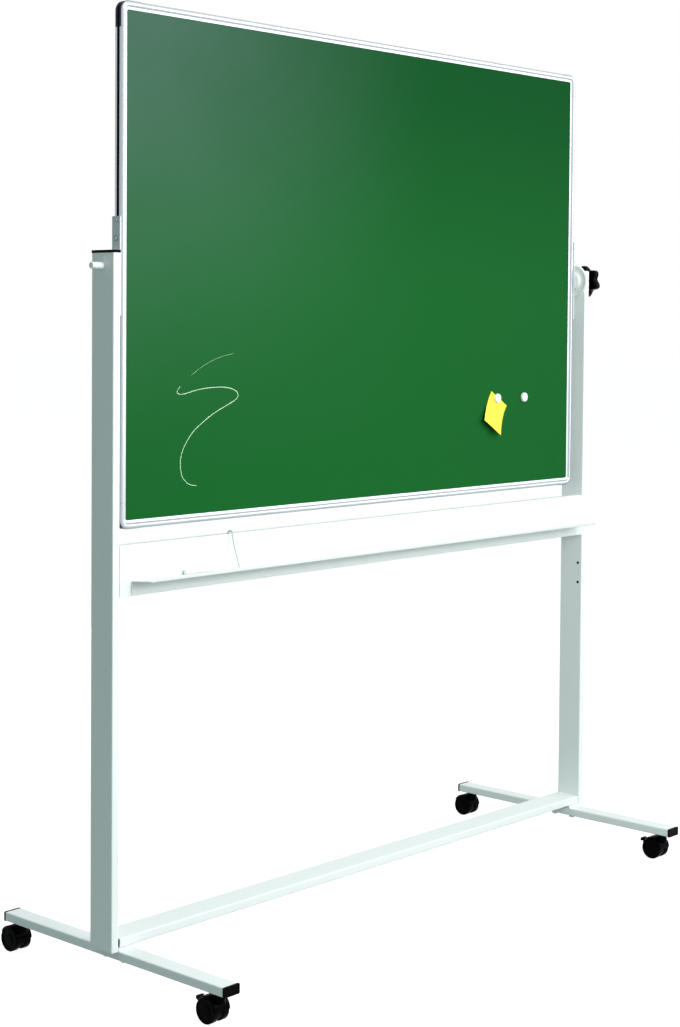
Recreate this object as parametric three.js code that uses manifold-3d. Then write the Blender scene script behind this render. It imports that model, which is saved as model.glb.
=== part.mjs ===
// Mobile revolving writing board: an enamelled board in an aluminium frame turns
// about a horizontal axis between two steel uprights, on feet with swivel castors.
// Millimetres, +Z up. X runs along the board, -Y is the side that is written on.

import * as THREE from 'three';
import { mergeVertices } from 'three/addons/utils/BufferGeometryUtils.js';
import Module from 'manifold-3d';

const wasm = await Module();
wasm.setup();

// Board and its frame
const BOARD_WIDTH = 1500;
const BOARD_HEIGHT = 1000;
const FRAME_DEPTH = 22;
const FRAME_SIDE_FLAT = 16;
const FRAME_FACE = 16.5;
const FRAME_BAND = 9.5;
const FRAME_STEP_DEPTH = 18.4;
const FRAME_INNER_BAND_DEPTH = 15.6;
const FRAME_WEB = 2;
const GROOVE_WIDTH = 7.5;
const GROOVE_DEPTH = 5;
const CORNER_RADIUS = 20;
const CORNER_LEG = 50;
const CORE_THICKNESS = 9.4;
const SHEET_THICKNESS = 0.6;

// Pivot line
const SIDE_CLEARANCE = 20;
const BRACKET_HEIGHT = 188;
const BRACKET_THICKNESS = 4;
const AXLE_RADIUS = 5;
const AXLE_CAP_RADIUS = 6.5;
const AXLE_CAP_LENGTH = 29;
const AXLE_CAP_END = 3;
const BUSH_RADIUS = 14;
const DISC_RADIUS = 39;
const DISC_THICKNESS = 5;
const DISC_BOSS_RADIUS = 21;
const DISC_LUG_SIZE = 9;
const DISC_LUG_HEIGHT = 3;
const DISC_LUG_ANGLE = 228;
const WASHER_RADIUS = 13;
const WASHER_THICKNESS = 2;
const KNOB_RADIUS = 39;
const KNOB_LOBES = 6;
const KNOB_LOBE_DEPTH = 9;
const KNOB_RIM_THICKNESS = 22;
const KNOB_HUB_RADIUS = 15;
const KNOB_LENGTH = 41;
const KNOB_BORE_DEPTH = 28;
const KNOB_EDGE = 5;
const KNOB_TAPER = 0.88;

// Steel tube of the uprights and of the bottom rail
const TUBE_WIDE = 62;
const TUBE_NARROW = 18;
const TUBE_WALL = 1.5;
const TUBE_CORNER = 2.5;
const UPRIGHT_LENGTH = 1324;
const PIVOT_BELOW_TOP = 24;
const CAP_FLANGE = 5;
const CAP_PLUG = 12;
const SPARE_HOLE_RADIUS = 2.5;
const SPARE_HOLE_FROM_FRONT = 10.5;
const SPARE_HOLE_DROP = 169;
const HOLE_PITCH = 48;

// Crossbar, tray and wire stay
const CROSSBAR_GAP = 27;
const CROSSBAR_HEIGHT = 98;
const CROSSBAR_DEPTH = 20;
const SHEET_STEEL = 1.5;
const TRAY_END_INSET = 30;
const TRAY_DROP = 69;
const TRAY_DEPTH = 60;
const TRAY_RISE = 3.5;
const TRAY_LIP = 6.5;
const TRAY_FLANGE = 27;
const WIRE_RADIUS = 1.5;
const WIRE_FROM_UPRIGHT = 294;
const WIRE_TAIL = 6;
const WIRE_LOOP_RADIUS = 6.5;
const WIRE_FROM_FRONT = 3.5;
const WIRE_BEND_DROP = 14;
const WIRE_FOOT_FROM_PANEL = 30;
const CHALK_RADIUS = 5;
const CHALK_LENGTH = 80;
const CHALK_FROM_TRAY_END = 134;

// Feet and bottom rail
const FOOT_LENGTH = 622;
const FOOT_WIDTH = 40;
const FOOT_HEIGHT = 18;
const FOOT_CAP_FLANGE = 3;
const FOOT_CAP_RECESS = 1;
const FOOT_CAP_RIM = 3;
const RAIL_SPACER = 6;
const END_PLATE = 3;
const END_PLATE_DEPTH = 50;
const BOLT_PITCH = 50;
const BOLT_RADIUS = 4;
const BOLT_HEAD_RADIUS = 7;
const BOLT_HEAD_HEIGHT = 8;
const BOLT_HEAD_EDGE = 1.2;
const WELD_NUT_RADIUS = 7;
const WELD_NUT_HEIGHT = 5;

// Twin wheel castors
const CASTOR_HEIGHT = 60;
const CASTOR_FROM_FOOT_END = 30;
const WHEEL_RADIUS = 24;
const WHEEL_WIDTH = 15;
const WHEEL_SHOULDER = 3;
const WHEEL_HUB_RADIUS = 9;
const WHEEL_DISH = 2;
const WHEEL_WEB = 4;
const CASTOR_TRAIL = 18;
const HOOD_RIB = 9;
const HOOD_GAP = 1.2;
const HOOD_SHELL = 2.6;
const HOOD_REAR_ANGLE = 40;
const HOOD_FRONT_ANGLE = 192;
const HOOD_BOSS_RADIUS = 11;
const HOOD_BOSS_BELOW_TOP = 16;
const RIB_SETBACK = 2;
const AXLE_PIN_RADIUS = 3;
const SOCKET_FLANGE = 3;
const SOCKET_RADIUS = 13;
const SOCKET_BODY_RADIUS = 7;
const SOCKET_DEPTH = 12;
const STEM_RADIUS = 4;
const STEM_LENGTH = 14;
const LEVER_WIDTH = 22;
const LEVER_THICKNESS = 2.6;
const LEVER_KNUCKLE_RADIUS = 2.6;
const LEVER_KNUCKLE_ANGLE = 8;
const LEVER_PIN_RADIUS = 1.4;
const LEVER_REACH = 55;
const LEVER_TIP_HEIGHT = 36;
const BRAKE_TRAVEL = 15;
const SHOE_ANGLE = 17;
const SHOE_THICKNESS = 2.4;
const EAR_THICKNESS = 2.4;

// Magnets on the board
const MAGNET_RADIUS = 12.5;
const MAGNET_HEIGHT = 7;
const MAGNET_EDGE = 1.2;
const MAGNETS_ABOVE_EDGE = 219;
const MAGNETS_FROM_EDGE = 250;
const MAGNET_PITCH = 106;

// Clearances
const SEAT = 0.3;
const BOND = 0.1;
const RUNNING = 0.3;

// How far two forms of one piece run into each other
const FUSED = 0.8;

const ROUND_STEPS = 20;
const WHEEL_STEPS = 24;
const DISC_STEPS = 36;

// Values worked out from the sizes above
const halfWidth = BOARD_WIDTH / 2;
const halfHeight = BOARD_HEIGHT / 2;
const innerX = halfWidth + SIDE_CLEARANCE;
const outerX = innerX + TUBE_NARROW;
const tubeFront = -TUBE_WIDE / 2;
const footBottom = CASTOR_HEIGHT;
const footTop = footBottom + FOOT_HEIGHT;
const uprightTop = footTop + UPRIGHT_LENGTH;
const pivotHeight = uprightTop - PIVOT_BELOW_TOP;
const railBottom = footTop + RAIL_SPACER;
const crossbarTop = pivotHeight - halfHeight - CROSSBAR_GAP;
const crossbarBottom = crossbarTop - CROSSBAR_HEIGHT;
const trayBack = crossbarTop - TRAY_DROP;
const bracketFace = halfWidth + SEAT + BRACKET_THICKNESS;
const footCentre = innerX - FOOT_WIDTH / 2;
const panelHalfThickness = CORE_THICKNESS / 2 + BOND + SHEET_THICKNESS;
const castorY = FOOT_LENGTH / 2 - CASTOR_FROM_FOOT_END;

const paint = (color, roughness, metalness) => ({ color, roughness, metalness });
const WHITE_STEEL = paint(0xf1f5f3, 0.42, 0.1);
const ALUMINIUM = paint(0xd5dade, 0.32, 0.85);
const GREEN_ENAMEL = paint(0x2f7340, 0.38, 0);
const WHITE_ENAMEL = paint(0xf6f8f6, 0.16, 0);
const FIBREBOARD = paint(0x9a7b55, 0.85, 0);
const BLACK_PLASTIC = paint(0x17191b, 0.5, 0);
const DARK_NYLON = paint(0x0d0e10, 0.42, 0);
const GREY_STEEL = paint(0x8a9598, 0.4, 0.7);
const WHITE_PLASTIC = paint(0xf2f4f3, 0.45, 0);
const ZINC = paint(0xb9bfc2, 0.35, 0.9);
const CHALK_WHITE = paint(0xf4f3ee, 0.9, 0);

// Solids and geometries

function toSolid(geometry) {
  const bare = geometry.clone();
  for (const name of Object.keys(bare.attributes)) {
    if (name !== 'position') bare.deleteAttribute(name);
  }
  const merged = mergeVertices(bare, 1e-4);
  return new wasm.Manifold(new wasm.Mesh({
    numProp: 3,
    vertProperties: new Float32Array(merged.attributes.position.array),
    triVerts: new Uint32Array(merged.index.array),
  }));
}

function toGeometry(solid) {
  const mesh = solid.getMesh();
  const geometry = new THREE.BufferGeometry();
  geometry.setAttribute('position', new THREE.BufferAttribute(mesh.vertProperties, 3));
  geometry.setIndex(new THREE.BufferAttribute(mesh.triVerts, 1));
  return geometry;
}

function join(base, ...others) {
  return toGeometry(others.reduce((sum, other) => sum.add(toSolid(other)), toSolid(base)));
}

function cut(base, ...tools) {
  return toGeometry(tools.reduce((rest, tool) => rest.subtract(toSolid(tool)), toSolid(base)));
}

function box(low, high) {
  const size = high.map((value, i) => value - low[i]);
  const middle = high.map((value, i) => (value + low[i]) / 2);
  return new THREE.BoxGeometry(...size).translate(...middle);
}

// A round bar from one place to another along one axis, the other two places fixed
function bar(axis, radius, from, to, place = [0, 0, 0], steps = ROUND_STEPS) {
  const geometry = new THREE.CylinderGeometry(radius, radius, to - from, steps);
  if (axis === 'x') geometry.rotateZ(-Math.PI / 2);
  if (axis === 'z') geometry.rotateX(Math.PI / 2);
  const centre = [...place];
  centre['xyz'.indexOf(axis)] += (from + to) / 2;
  return geometry.translate(...centre);
}

// A turned piece about X, from points that give radius and place along X
function turned(profile, steps = ROUND_STEPS) {
  const points = profile.map(([radius, along]) => new THREE.Vector2(radius, along));
  return outward(new THREE.LatheGeometry(points, steps).rotateZ(-Math.PI / 2));
}

function signedVolume(geometry) {
  const flat = geometry.index ? geometry.toNonIndexed() : geometry;
  const a = new THREE.Vector3();
  const b = new THREE.Vector3();
  const c = new THREE.Vector3();
  let volume = 0;
  for (let i = 0; i < flat.attributes.position.count; i += 3) {
    a.fromBufferAttribute(flat.attributes.position, i);
    b.fromBufferAttribute(flat.attributes.position, i + 1);
    c.fromBufferAttribute(flat.attributes.position, i + 2);
    volume += a.dot(b.cross(c)) / 6;
  }
  return volume;
}

function outward(geometry) {
  if (signedVolume(geometry) > 0) return geometry;
  const order = geometry.index.array;
  for (let i = 0; i < order.length; i += 3) {
    [order[i], order[i + 2]] = [order[i + 2], order[i]];
  }
  return geometry;
}

// A closed body through rings of points that all follow one flat section
function loft(section, rings) {
  const positions = rings.flat().flatMap((point) => point.toArray());
  const count = section.length;
  const order = [];
  for (let ring = 0; ring + 1 < rings.length; ring += 1) {
    for (let i = 0; i < count; i += 1) {
      const a = ring * count + i;
      const b = ring * count + ((i + 1) % count);
      order.push(a, b, b + count, a, b + count, a + count);
    }
  }
  const last = (rings.length - 1) * count;
  const clockwise = THREE.ShapeUtils.isClockWise(section);
  for (const face of THREE.ShapeUtils.triangulateShape(section, [])) {
    const [a, b, c] = clockwise ? face.reverse() : face;
    order.push(a, c, b, last + a, last + b, last + c);
  }
  const geometry = new THREE.BufferGeometry();
  geometry.setAttribute('position', new THREE.Float32BufferAttribute(positions, 3));
  geometry.setIndex(order);
  return outward(geometry);
}

function roundedRectangle(width, height, radius) {
  const [x, y] = [width / 2, height / 2];
  const shape = new THREE.Shape();
  shape.moveTo(-x + radius, -y);
  shape.lineTo(x - radius, -y);
  shape.absarc(x - radius, -y + radius, radius, -Math.PI / 2, 0);
  shape.lineTo(x, y - radius);
  shape.absarc(x - radius, y - radius, radius, 0, Math.PI / 2);
  shape.lineTo(-x + radius, y);
  shape.absarc(-x + radius, y - radius, radius, Math.PI / 2, Math.PI);
  shape.lineTo(-x, -y + radius);
  shape.absarc(-x + radius, -y + radius, radius, Math.PI, Math.PI * 1.5);
  return shape;
}

function extruded(shape, depth, curveSegments = 2) {
  return new THREE.ExtrudeGeometry(shape, { depth, bevelEnabled: false, curveSegments });
}

// Rectangular steel tube along Z from 0 to its length, open at both ends
function tube(width, depth, length) {
  const outer = extruded(roundedRectangle(width, depth, TUBE_CORNER), length);
  const bore = roundedRectangle(width - 2 * TUBE_WALL, depth - 2 * TUBE_WALL, TUBE_CORNER - TUBE_WALL);
  return cut(outer, extruded(bore, length + 2, 1).translate(0, 0, -1));
}

function piece(name, geometry, finish, place = [0, 0, 0]) {
  const body = toGeometry(toSolid(geometry));
  const mesh = new THREE.Mesh(body, new THREE.MeshStandardMaterial(finish));
  mesh.name = name;
  mesh.position.set(...place);
  return mesh;
}

function mirroredX(geometry) {
  return outward(toGeometry(toSolid(geometry)).scale(-1, 1, 1));
}

// Aluminium frame of the board

// Half of the profile, from the groove in the outer side to the middle of the
// panel slot. u runs inwards from the outer edge, v is the distance from mid plane.
function frameHalfSection() {
  const side = FRAME_SIDE_FLAT / 2;
  const face = FRAME_DEPTH / 2;
  const step = FRAME_STEP_DEPTH / 2;
  const inner = FRAME_INNER_BAND_DEPTH / 2;
  const slot = panelHalfThickness + SEAT;
  const crown = FRAME_BAND / 2;
  const rounding = [30, 60, 90].map(THREE.MathUtils.degToRad);
  const points = [[GROOVE_DEPTH, GROOVE_WIDTH / 2], [0, GROOVE_WIDTH / 2], [0, side]];
  for (const angle of rounding) {
    points.push([crown * (1 - Math.cos(angle)), side + (face - side) * Math.sin(angle)]);
  }
  for (const angle of rounding) {
    points.push([crown * (1 + Math.sin(angle)), step + (face - step) * Math.cos(angle)]);
  }
  points.push([FRAME_BAND, inner]);
  points.push([FRAME_FACE, inner]);
  points.push([FRAME_FACE, slot]);
  points.push([GROOVE_DEPTH + FRAME_WEB, slot]);
  return points;
}

function frameSection() {
  const half = frameHalfSection();
  const back = half.map(([u, v]) => [u, -v]).reverse();
  return [...half, ...back].map(([u, v]) => new THREE.Vector2(u, v));
}

// Rings of the profile along stations on the board's outer outline
function frameBody(stations) {
  const section = frameSection();
  const rings = stations.map(({ x, z, inX, inZ }) => section.map((point) => new THREE.Vector3(
    x + inX * point.x,
    -point.y,
    z + inZ * point.x,
  )));
  return loft(section, rings);
}

function straightProfile(side) {
  const reach = (side.along === 'x' ? halfWidth : halfHeight) - CORNER_LEG - SEAT / 2;
  const stations = [-reach, reach].map((t) => (side.along === 'x'
    ? { x: t, z: side.sign * halfHeight, inX: 0, inZ: -side.sign }
    : { x: side.sign * halfWidth, z: t, inX: -side.sign, inZ: 0 }));
  return frameBody(stations);
}

function cornerProfile(signX, signZ) {
  const leg = CORNER_LEG - SEAT / 2;
  const stations = [{ x: signX * halfWidth, z: signZ * (halfHeight - leg), inX: -signX, inZ: 0 }];
  const steps = 5;
  for (let i = 0; i <= steps; i += 1) {
    const angle = (Math.PI / 2) * (i / steps);
    const [outX, outZ] = [signX * Math.cos(angle), signZ * Math.sin(angle)];
    stations.push({
      x: signX * (halfWidth - CORNER_RADIUS) + CORNER_RADIUS * outX,
      z: signZ * (halfHeight - CORNER_RADIUS) + CORNER_RADIUS * outZ,
      inX: -outX,
      inZ: -outZ,
    });
  }
  stations.push({ x: signX * (halfWidth - leg), z: signZ * halfHeight, inX: 0, inZ: -signZ });
  return frameBody(stations);
}

// Writing panel held in the frame's slot

function panelLayer(thickness, front) {
  const inset = GROOVE_DEPTH + FRAME_WEB + SEAT;
  const outline = roundedRectangle(
    BOARD_WIDTH - 2 * inset,
    BOARD_HEIGHT - 2 * inset,
    CORNER_RADIUS - inset,
  );
  return extruded(outline, thickness, 3).rotateX(Math.PI / 2).translate(0, front + thickness, 0);
}

// Pivot brackets: a steel plate on the board's side with its stub axle

function pivotBracket(axleEnd) {
  const plate = box(
    [halfWidth + SEAT, -FRAME_DEPTH / 2, -BRACKET_HEIGHT / 2],
    [bracketFace, FRAME_DEPTH / 2, BRACKET_HEIGHT / 2],
  );
  return join(plate, bar('x', AXLE_RADIUS, bracketFace - FUSED, axleEnd));
}

function axleCap() {
  const start = outerX + SEAT;
  const end = start + AXLE_CAP_LENGTH;
  const bore = AXLE_RADIUS + SEAT;
  return turned([
    [bore, start],
    [AXLE_CAP_RADIUS, start],
    [AXLE_CAP_RADIUS, end - AXLE_CAP_END],
    [AXLE_CAP_RADIUS - 1, end - 1],
    [AXLE_CAP_RADIUS - AXLE_CAP_END, end],
    [0, end],
    [0, end - AXLE_CAP_END - 1],
    [bore, end - AXLE_CAP_END - 1],
    [bore, start],
  ]);
}

function pivotBush() {
  const bore = AXLE_RADIUS + RUNNING;
  const [from, to] = [bracketFace + RUNNING, innerX - SEAT];
  return turned([[bore, from], [BUSH_RADIUS, from], [BUSH_RADIUS, to], [bore, to], [bore, from]]);
}

function frictionDisc() {
  const bore = AXLE_RADIUS + RUNNING;
  const seat = innerX - SEAT;
  const face = seat - DISC_THICKNESS;
  const boss = bracketFace + RUNNING;
  const edge = 1;
  const ring = turned([
    [bore, boss],
    [DISC_BOSS_RADIUS - edge, boss],
    [DISC_BOSS_RADIUS, boss + edge],
    [DISC_BOSS_RADIUS, face],
    [DISC_RADIUS - edge, face],
    [DISC_RADIUS, face + edge],
    [DISC_RADIUS, seat],
    [bore, seat],
    [bore, boss],
  ], DISC_STEPS);
  const angle = THREE.MathUtils.degToRad(DISC_LUG_ANGLE);
  const reach = DISC_RADIUS - DISC_LUG_SIZE / 2;
  const [y, z] = [reach * Math.cos(angle), reach * Math.sin(angle)];
  const half = DISC_LUG_SIZE / 2;
  const lug = box(
    [face - DISC_LUG_HEIGHT, y - half, z - half],
    [face + FUSED, y + half, z + half],
  );
  return join(ring, lug);
}

function clampWasher() {
  const [bore, from] = [AXLE_RADIUS + RUNNING, outerX + SEAT];
  const to = from + WASHER_THICKNESS;
  return turned([[bore, from], [WASHER_RADIUS, from], [WASHER_RADIUS, to], [bore, to], [bore, from]]);
}

function clampKnob() {
  const back = outerX + SEAT + WASHER_THICKNESS + SEAT;
  const front = back + KNOB_LENGTH;
  const middle = KNOB_RADIUS - KNOB_LOBE_DEPTH / 2;
  const steps = KNOB_LOBES * 8;
  const outline = Array.from({ length: steps }, (_, i) => {
    const angle = (i / steps) * Math.PI * 2;
    const radius = middle + (KNOB_LOBE_DEPTH / 2) * Math.sin(KNOB_LOBES * angle + Math.PI / 2);
    return new THREE.Vector2(radius * Math.sin(angle), radius * Math.cos(angle));
  });
  const scaledRing = (share, x) => outline.map((p) => new THREE.Vector3(x, p.x * share, p.y * share));
  const rimBack = front - KNOB_RIM_THICKNESS;
  const rim = loft(outline, [
    scaledRing(KNOB_TAPER, rimBack),
    scaledRing(1, rimBack + KNOB_EDGE),
    scaledRing(1, front - KNOB_EDGE),
    scaledRing(KNOB_TAPER, front),
  ]);
  const hub = bar('x', KNOB_HUB_RADIUS, back, rimBack + FUSED);
  const bore = bar('x', AXLE_RADIUS + RUNNING, back - 1, back + KNOB_BORE_DEPTH);
  return cut(join(rim, hub), bore);
}

// Uprights and crossbar

function upright() {
  const body = tube(TUBE_NARROW, TUBE_WIDE, UPRIGHT_LENGTH).translate(innerX + TUBE_NARROW / 2, 0, footTop);
  const through = bar('x', AXLE_RADIUS + RUNNING, innerX - 1, outerX + 1, [0, 0, pivotHeight]);
  const inner = [innerX - 1, innerX + TUBE_WALL + 1];
  const front = tubeFront + SPARE_HOLE_FROM_FRONT;
  const spareTop = crossbarTop - SPARE_HOLE_DROP;
  const spares = [0, HOLE_PITCH].map((drop) => (
    bar('x', SPARE_HOLE_RADIUS, ...inner, [0, front, spareTop - drop], 12)));
  return cut(body, through, ...spares);
}

// Plastic plug with a flange that covers a tube's end. It points along +Z.
function tubePlug(width, depth, flange) {
  const cover = extruded(roundedRectangle(width, depth, TUBE_CORNER), flange);
  const inside = 2 * (TUBE_WALL + SEAT);
  const plug = box(
    [-(width - inside) / 2, -(depth - inside) / 2, -CAP_PLUG],
    [(width - inside) / 2, (depth - inside) / 2, flange / 2],
  );
  return join(cover, plug);
}

function crossbar() {
  const reach = innerX - SEAT;
  const back = tubeFront + CROSSBAR_DEPTH;
  const shell = box([-reach, tubeFront, crossbarBottom], [reach, back, crossbarTop]);
  const hollow = box(
    [-reach + SHEET_STEEL, tubeFront + SHEET_STEEL, crossbarBottom + SHEET_STEEL],
    [reach - SHEET_STEEL, back + 1, crossbarTop - SHEET_STEEL],
  );
  const wireHole = bar('z', WIRE_RADIUS + SEAT, -SHEET_STEEL - 1, 1, [
    WIRE_FROM_UPRIGHT - innerX, tubeFront + WIRE_FROM_FRONT, crossbarTop,
  ], 12);
  return cut(shell, hollow, wireHole);
}

// Tray of bent sheet: a flange on the crossbar, a shelf that rises a little, a lip
function chalkTray() {
  const back = tubeFront - SEAT;
  const t = SHEET_STEEL;
  const front = back - TRAY_DEPTH;
  const lipFoot = trayBack + TRAY_RISE;
  const section = [
    [back, trayBack - TRAY_FLANGE],
    [back, trayBack],
    [front + t, lipFoot],
    [front + t, lipFoot + TRAY_LIP],
    [front, lipFoot + TRAY_LIP],
    [front, lipFoot - t],
    [back - t, trayBack - t],
    [back - t, trayBack - TRAY_FLANGE],
  ].map(([y, z]) => new THREE.Vector2(y, z));
  const reach = innerX - TRAY_END_INSET;
  return loft(section, [-reach, reach].map((x) => section.map((p) => new THREE.Vector3(x, p.x, p.y))));
}

// Height of the shelf's upper side at a distance in front of the crossbar
function shelfTop(fromPanel) {
  return trayBack + TRAY_RISE * ((fromPanel - SEAT) / (TRAY_DEPTH - SHEET_STEEL));
}

// Wire from a hole in the crossbar's top, over its edge and down to the shelf
function wireStay() {
  const tail = tubeFront + WIRE_FROM_FRONT;
  const bend = tail - 2 * WIRE_LOOP_RADIUS;
  const footY = tubeFront - WIRE_FOOT_FROM_PANEL;
  const points = [new THREE.Vector3(0, tail, crossbarTop - WIRE_TAIL)];
  const turns = 6;
  for (let i = 0; i <= turns; i += 1) {
    const angle = Math.PI * (i / turns);
    points.push(new THREE.Vector3(
      0,
      tail - WIRE_LOOP_RADIUS + WIRE_LOOP_RADIUS * Math.cos(angle),
      crossbarTop + WIRE_LOOP_RADIUS * Math.sin(angle),
    ));
  }
  points.push(new THREE.Vector3(0, bend - WIRE_RADIUS, crossbarTop - WIRE_BEND_DROP));
  const shelf = shelfTop(WIRE_FOOT_FROM_PANEL) + WIRE_RADIUS + SEAT;
  points.push(new THREE.Vector3(0, footY, shelf));
  const path = new THREE.CatmullRomCurve3(points, false, 'centripetal');
  const section = new THREE.Shape().absarc(0, 0, WIRE_RADIUS, 0, Math.PI * 2);
  return new THREE.ExtrudeGeometry(section, {
    steps: 30, extrudePath: path, curveSegments: 4, bevelEnabled: false,
  });
}

// Feet, bottom rail and what bolts them together

const boltPlaces = [-BOLT_PITCH / 2, BOLT_PITCH / 2];

function boltHoles(from, to, x) {
  return boltPlaces.map((y) => bar('z', BOLT_RADIUS + SEAT, from, to, [x, y, 0], 16));
}

function foot() {
  const length = FOOT_LENGTH - 2 * FOOT_CAP_FLANGE;
  const body = tube(FOOT_WIDTH, FOOT_HEIGHT, length)
    .rotateX(-Math.PI / 2)
    .translate(footCentre, -length / 2, footBottom + FOOT_HEIGHT / 2);
  const sockets = [-castorY, castorY].map((y) => (
    bar('z', SOCKET_BODY_RADIUS + SEAT, footBottom - 1, footBottom + TUBE_WALL + 1, [footCentre, y, 0])));
  return cut(body, ...boltHoles(footBottom - 1, footTop + 1, footCentre), ...sockets);
}

function footCap() {
  const plug = tubePlug(FOOT_WIDTH, FOOT_HEIGHT, FOOT_CAP_FLANGE - SEAT);
  const rim = 2 * FOOT_CAP_RIM;
  const top = FOOT_CAP_FLANGE - SEAT;
  const recess = box(
    [-(FOOT_WIDTH - rim) / 2, -(FOOT_HEIGHT - rim) / 2, top - FOOT_CAP_RECESS],
    [(FOOT_WIDTH - rim) / 2, (FOOT_HEIGHT - rim) / 2, top + 1],
  );
  return cut(plug, recess).rotateX(Math.PI / 2);
}

function bottomRail() {
  const reach = innerX - END_PLATE - 2 * SEAT;
  const body = tube(TUBE_NARROW, TUBE_WIDE, 2 * reach)
    .rotateY(Math.PI / 2)
    .translate(-reach, 0, railBottom + TUBE_NARROW / 2);
  const nutBase = railBottom + TUBE_WALL;
  const sides = [-footCentre, footCentre];
  const nuts = sides.flatMap((x) => boltPlaces.map((y) => (
    bar('z', WELD_NUT_RADIUS, nutBase - FUSED, nutBase + WELD_NUT_HEIGHT, [x, y, 0], 6))));
  const holes = sides.flatMap((x) => boltHoles(railBottom - 1, nutBase + WELD_NUT_HEIGHT + 1, x));
  return cut(join(body, ...nuts), ...holes);
}

// Bracket between foot, rail and upright: a spacer under the rail and an end plate
function railMount() {
  const spacer = box(
    [innerX - FOOT_WIDTH, tubeFront, footTop + SEAT],
    [innerX - SEAT, -tubeFront, railBottom - SEAT],
  );
  const plate = box(
    [innerX - SEAT - END_PLATE, -END_PLATE_DEPTH / 2, railBottom - SEAT - FUSED],
    [innerX - SEAT, END_PLATE_DEPTH / 2, railBottom + TUBE_NARROW],
  );
  return cut(join(spacer, plate), ...boltHoles(footTop, railBottom, footCentre));
}

function footBolt() {
  const shankTop = railBottom + TUBE_WALL + WELD_NUT_HEIGHT - footBottom;
  const shank = bar('z', BOLT_RADIUS, -SEAT - FUSED, shankTop, [0, 0, 0], 16);
  const head = turned([
    [0, -BOLT_HEAD_HEIGHT],
    [BOLT_HEAD_RADIUS - BOLT_HEAD_EDGE, -BOLT_HEAD_HEIGHT],
    [BOLT_HEAD_RADIUS, BOLT_HEAD_EDGE - BOLT_HEAD_HEIGHT],
    [BOLT_HEAD_RADIUS, -SEAT],
    [0, -SEAT],
  ], 16).rotateY(-Math.PI / 2);
  return join(head, shank);
}

// Castors. Local frame: swivel axis on Z, floor at z = 0, the wheels trail along +Y.

const polar = (radius, degrees) => {
  const angle = THREE.MathUtils.degToRad(degrees);
  return [CASTOR_TRAIL + radius * Math.cos(angle), WHEEL_RADIUS + radius * Math.sin(angle)];
};

function arcBand(inner, outer, from, to, width, steps = 12) {
  const degrees = Array.from({ length: steps + 1 }, (_, i) => from + ((to - from) * i) / steps);
  const outline = [
    ...degrees.map((angle) => polar(outer, angle)),
    ...[...degrees].reverse().map((angle) => polar(inner, angle)),
  ].map(([y, z]) => new THREE.Vector2(y, z));
  const rings = [-width / 2, width / 2].map((x) => outline.map((p) => new THREE.Vector3(x, p.x, p.y)));
  return loft(outline, rings);
}

const hoodInner = WHEEL_RADIUS + HOOD_GAP;
const hoodOuter = hoodInner + HOOD_SHELL;
const hoodWidth = HOOD_RIB + 2 * RUNNING + 2 * WHEEL_WIDTH;
const knuckleRadius = hoodOuter + LEVER_KNUCKLE_RADIUS / 2;
const knucklePlace = polar(knuckleRadius, HOOD_REAR_ANGLE - LEVER_KNUCKLE_ANGLE);

// Lug and arm on each side of the lever's knuckle
function leverEar(side) {
  const middle = side * (LEVER_WIDTH / 2 + SEAT + EAR_THICKNESS / 2);
  const [from, to] = [middle - EAR_THICKNESS / 2, middle + EAR_THICKNESS / 2];
  const lug = bar('x', LEVER_KNUCKLE_RADIUS + FUSED, from, to, [0, ...knucklePlace], 16);
  const [start, end] = [HOOD_REAR_ANGLE - LEVER_KNUCKLE_ANGLE, HOOD_REAR_ANGLE + LEVER_KNUCKLE_ANGLE];
  const arm = arcBand(hoodInner, knuckleRadius, start, end, EAR_THICKNESS, 3);
  return join(lug, arm.translate(middle, 0, 0));
}

function castorHood(braked) {
  const shell = arcBand(hoodInner, hoodOuter, HOOD_REAR_ANGLE, HOOD_FRONT_ANGLE, hoodWidth);
  const centre = [0, CASTOR_TRAIL, WHEEL_RADIUS];
  const rib = bar('x', WHEEL_RADIUS - RIB_SETBACK, -HOOD_RIB / 2, HOOD_RIB / 2, centre, WHEEL_STEPS);
  const far = 2 * WHEEL_RADIUS;
  const belowRib = box([-HOOD_RIB, -far, -far], [HOOD_RIB, far, WHEEL_RADIUS / 2]);
  const web = arcBand(AXLE_PIN_RADIUS - FUSED, hoodInner + FUSED, HOOD_REAR_ANGLE, HOOD_FRONT_ANGLE, HOOD_RIB);
  const pinReach = HOOD_RIB / 2 + RUNNING + WHEEL_WIDTH - WHEEL_WEB - SEAT;
  const pin = bar('x', AXLE_PIN_RADIUS, -pinReach, pinReach, centre, 16);
  const bossTop = CASTOR_HEIGHT - SOCKET_FLANGE - 2 * SEAT;
  const boss = bar('z', HOOD_BOSS_RADIUS, bossTop - HOOD_BOSS_BELOW_TOP, bossTop);
  const wheelRoom = bar('x', hoodInner + FUSED, -hoodWidth, hoodWidth, centre, WHEEL_STEPS);
  const stemTop = CASTOR_HEIGHT - SOCKET_FLANGE + STEM_LENGTH;
  const stem = bar('z', STEM_RADIUS, bossTop - FUSED, stemTop, [0, 0, 0], 16);
  const body = [cut(boss, wheelRoom), stem, cut(rib, belowRib), web, pin];
  if (!braked) return join(shell, ...body);
  const pinHole = bar('x', LEVER_PIN_RADIUS + SEAT, -hoodWidth, hoodWidth, [0, ...knucklePlace], 12);
  return cut(join(shell, leverEar(-1), leverEar(1), ...body), pinHole);
}

// A place on the lever, from where it is once the lever is pressed down all the way
function beforeBraking([y, z]) {
  const angle = THREE.MathUtils.degToRad(BRAKE_TRAVEL);
  const [fromY, fromZ] = [y - knucklePlace[0], z - knucklePlace[1]];
  return [
    knucklePlace[0] + fromY * Math.cos(angle) - fromZ * Math.sin(angle),
    knucklePlace[1] + fromY * Math.sin(angle) + fromZ * Math.cos(angle),
  ];
}

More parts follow.
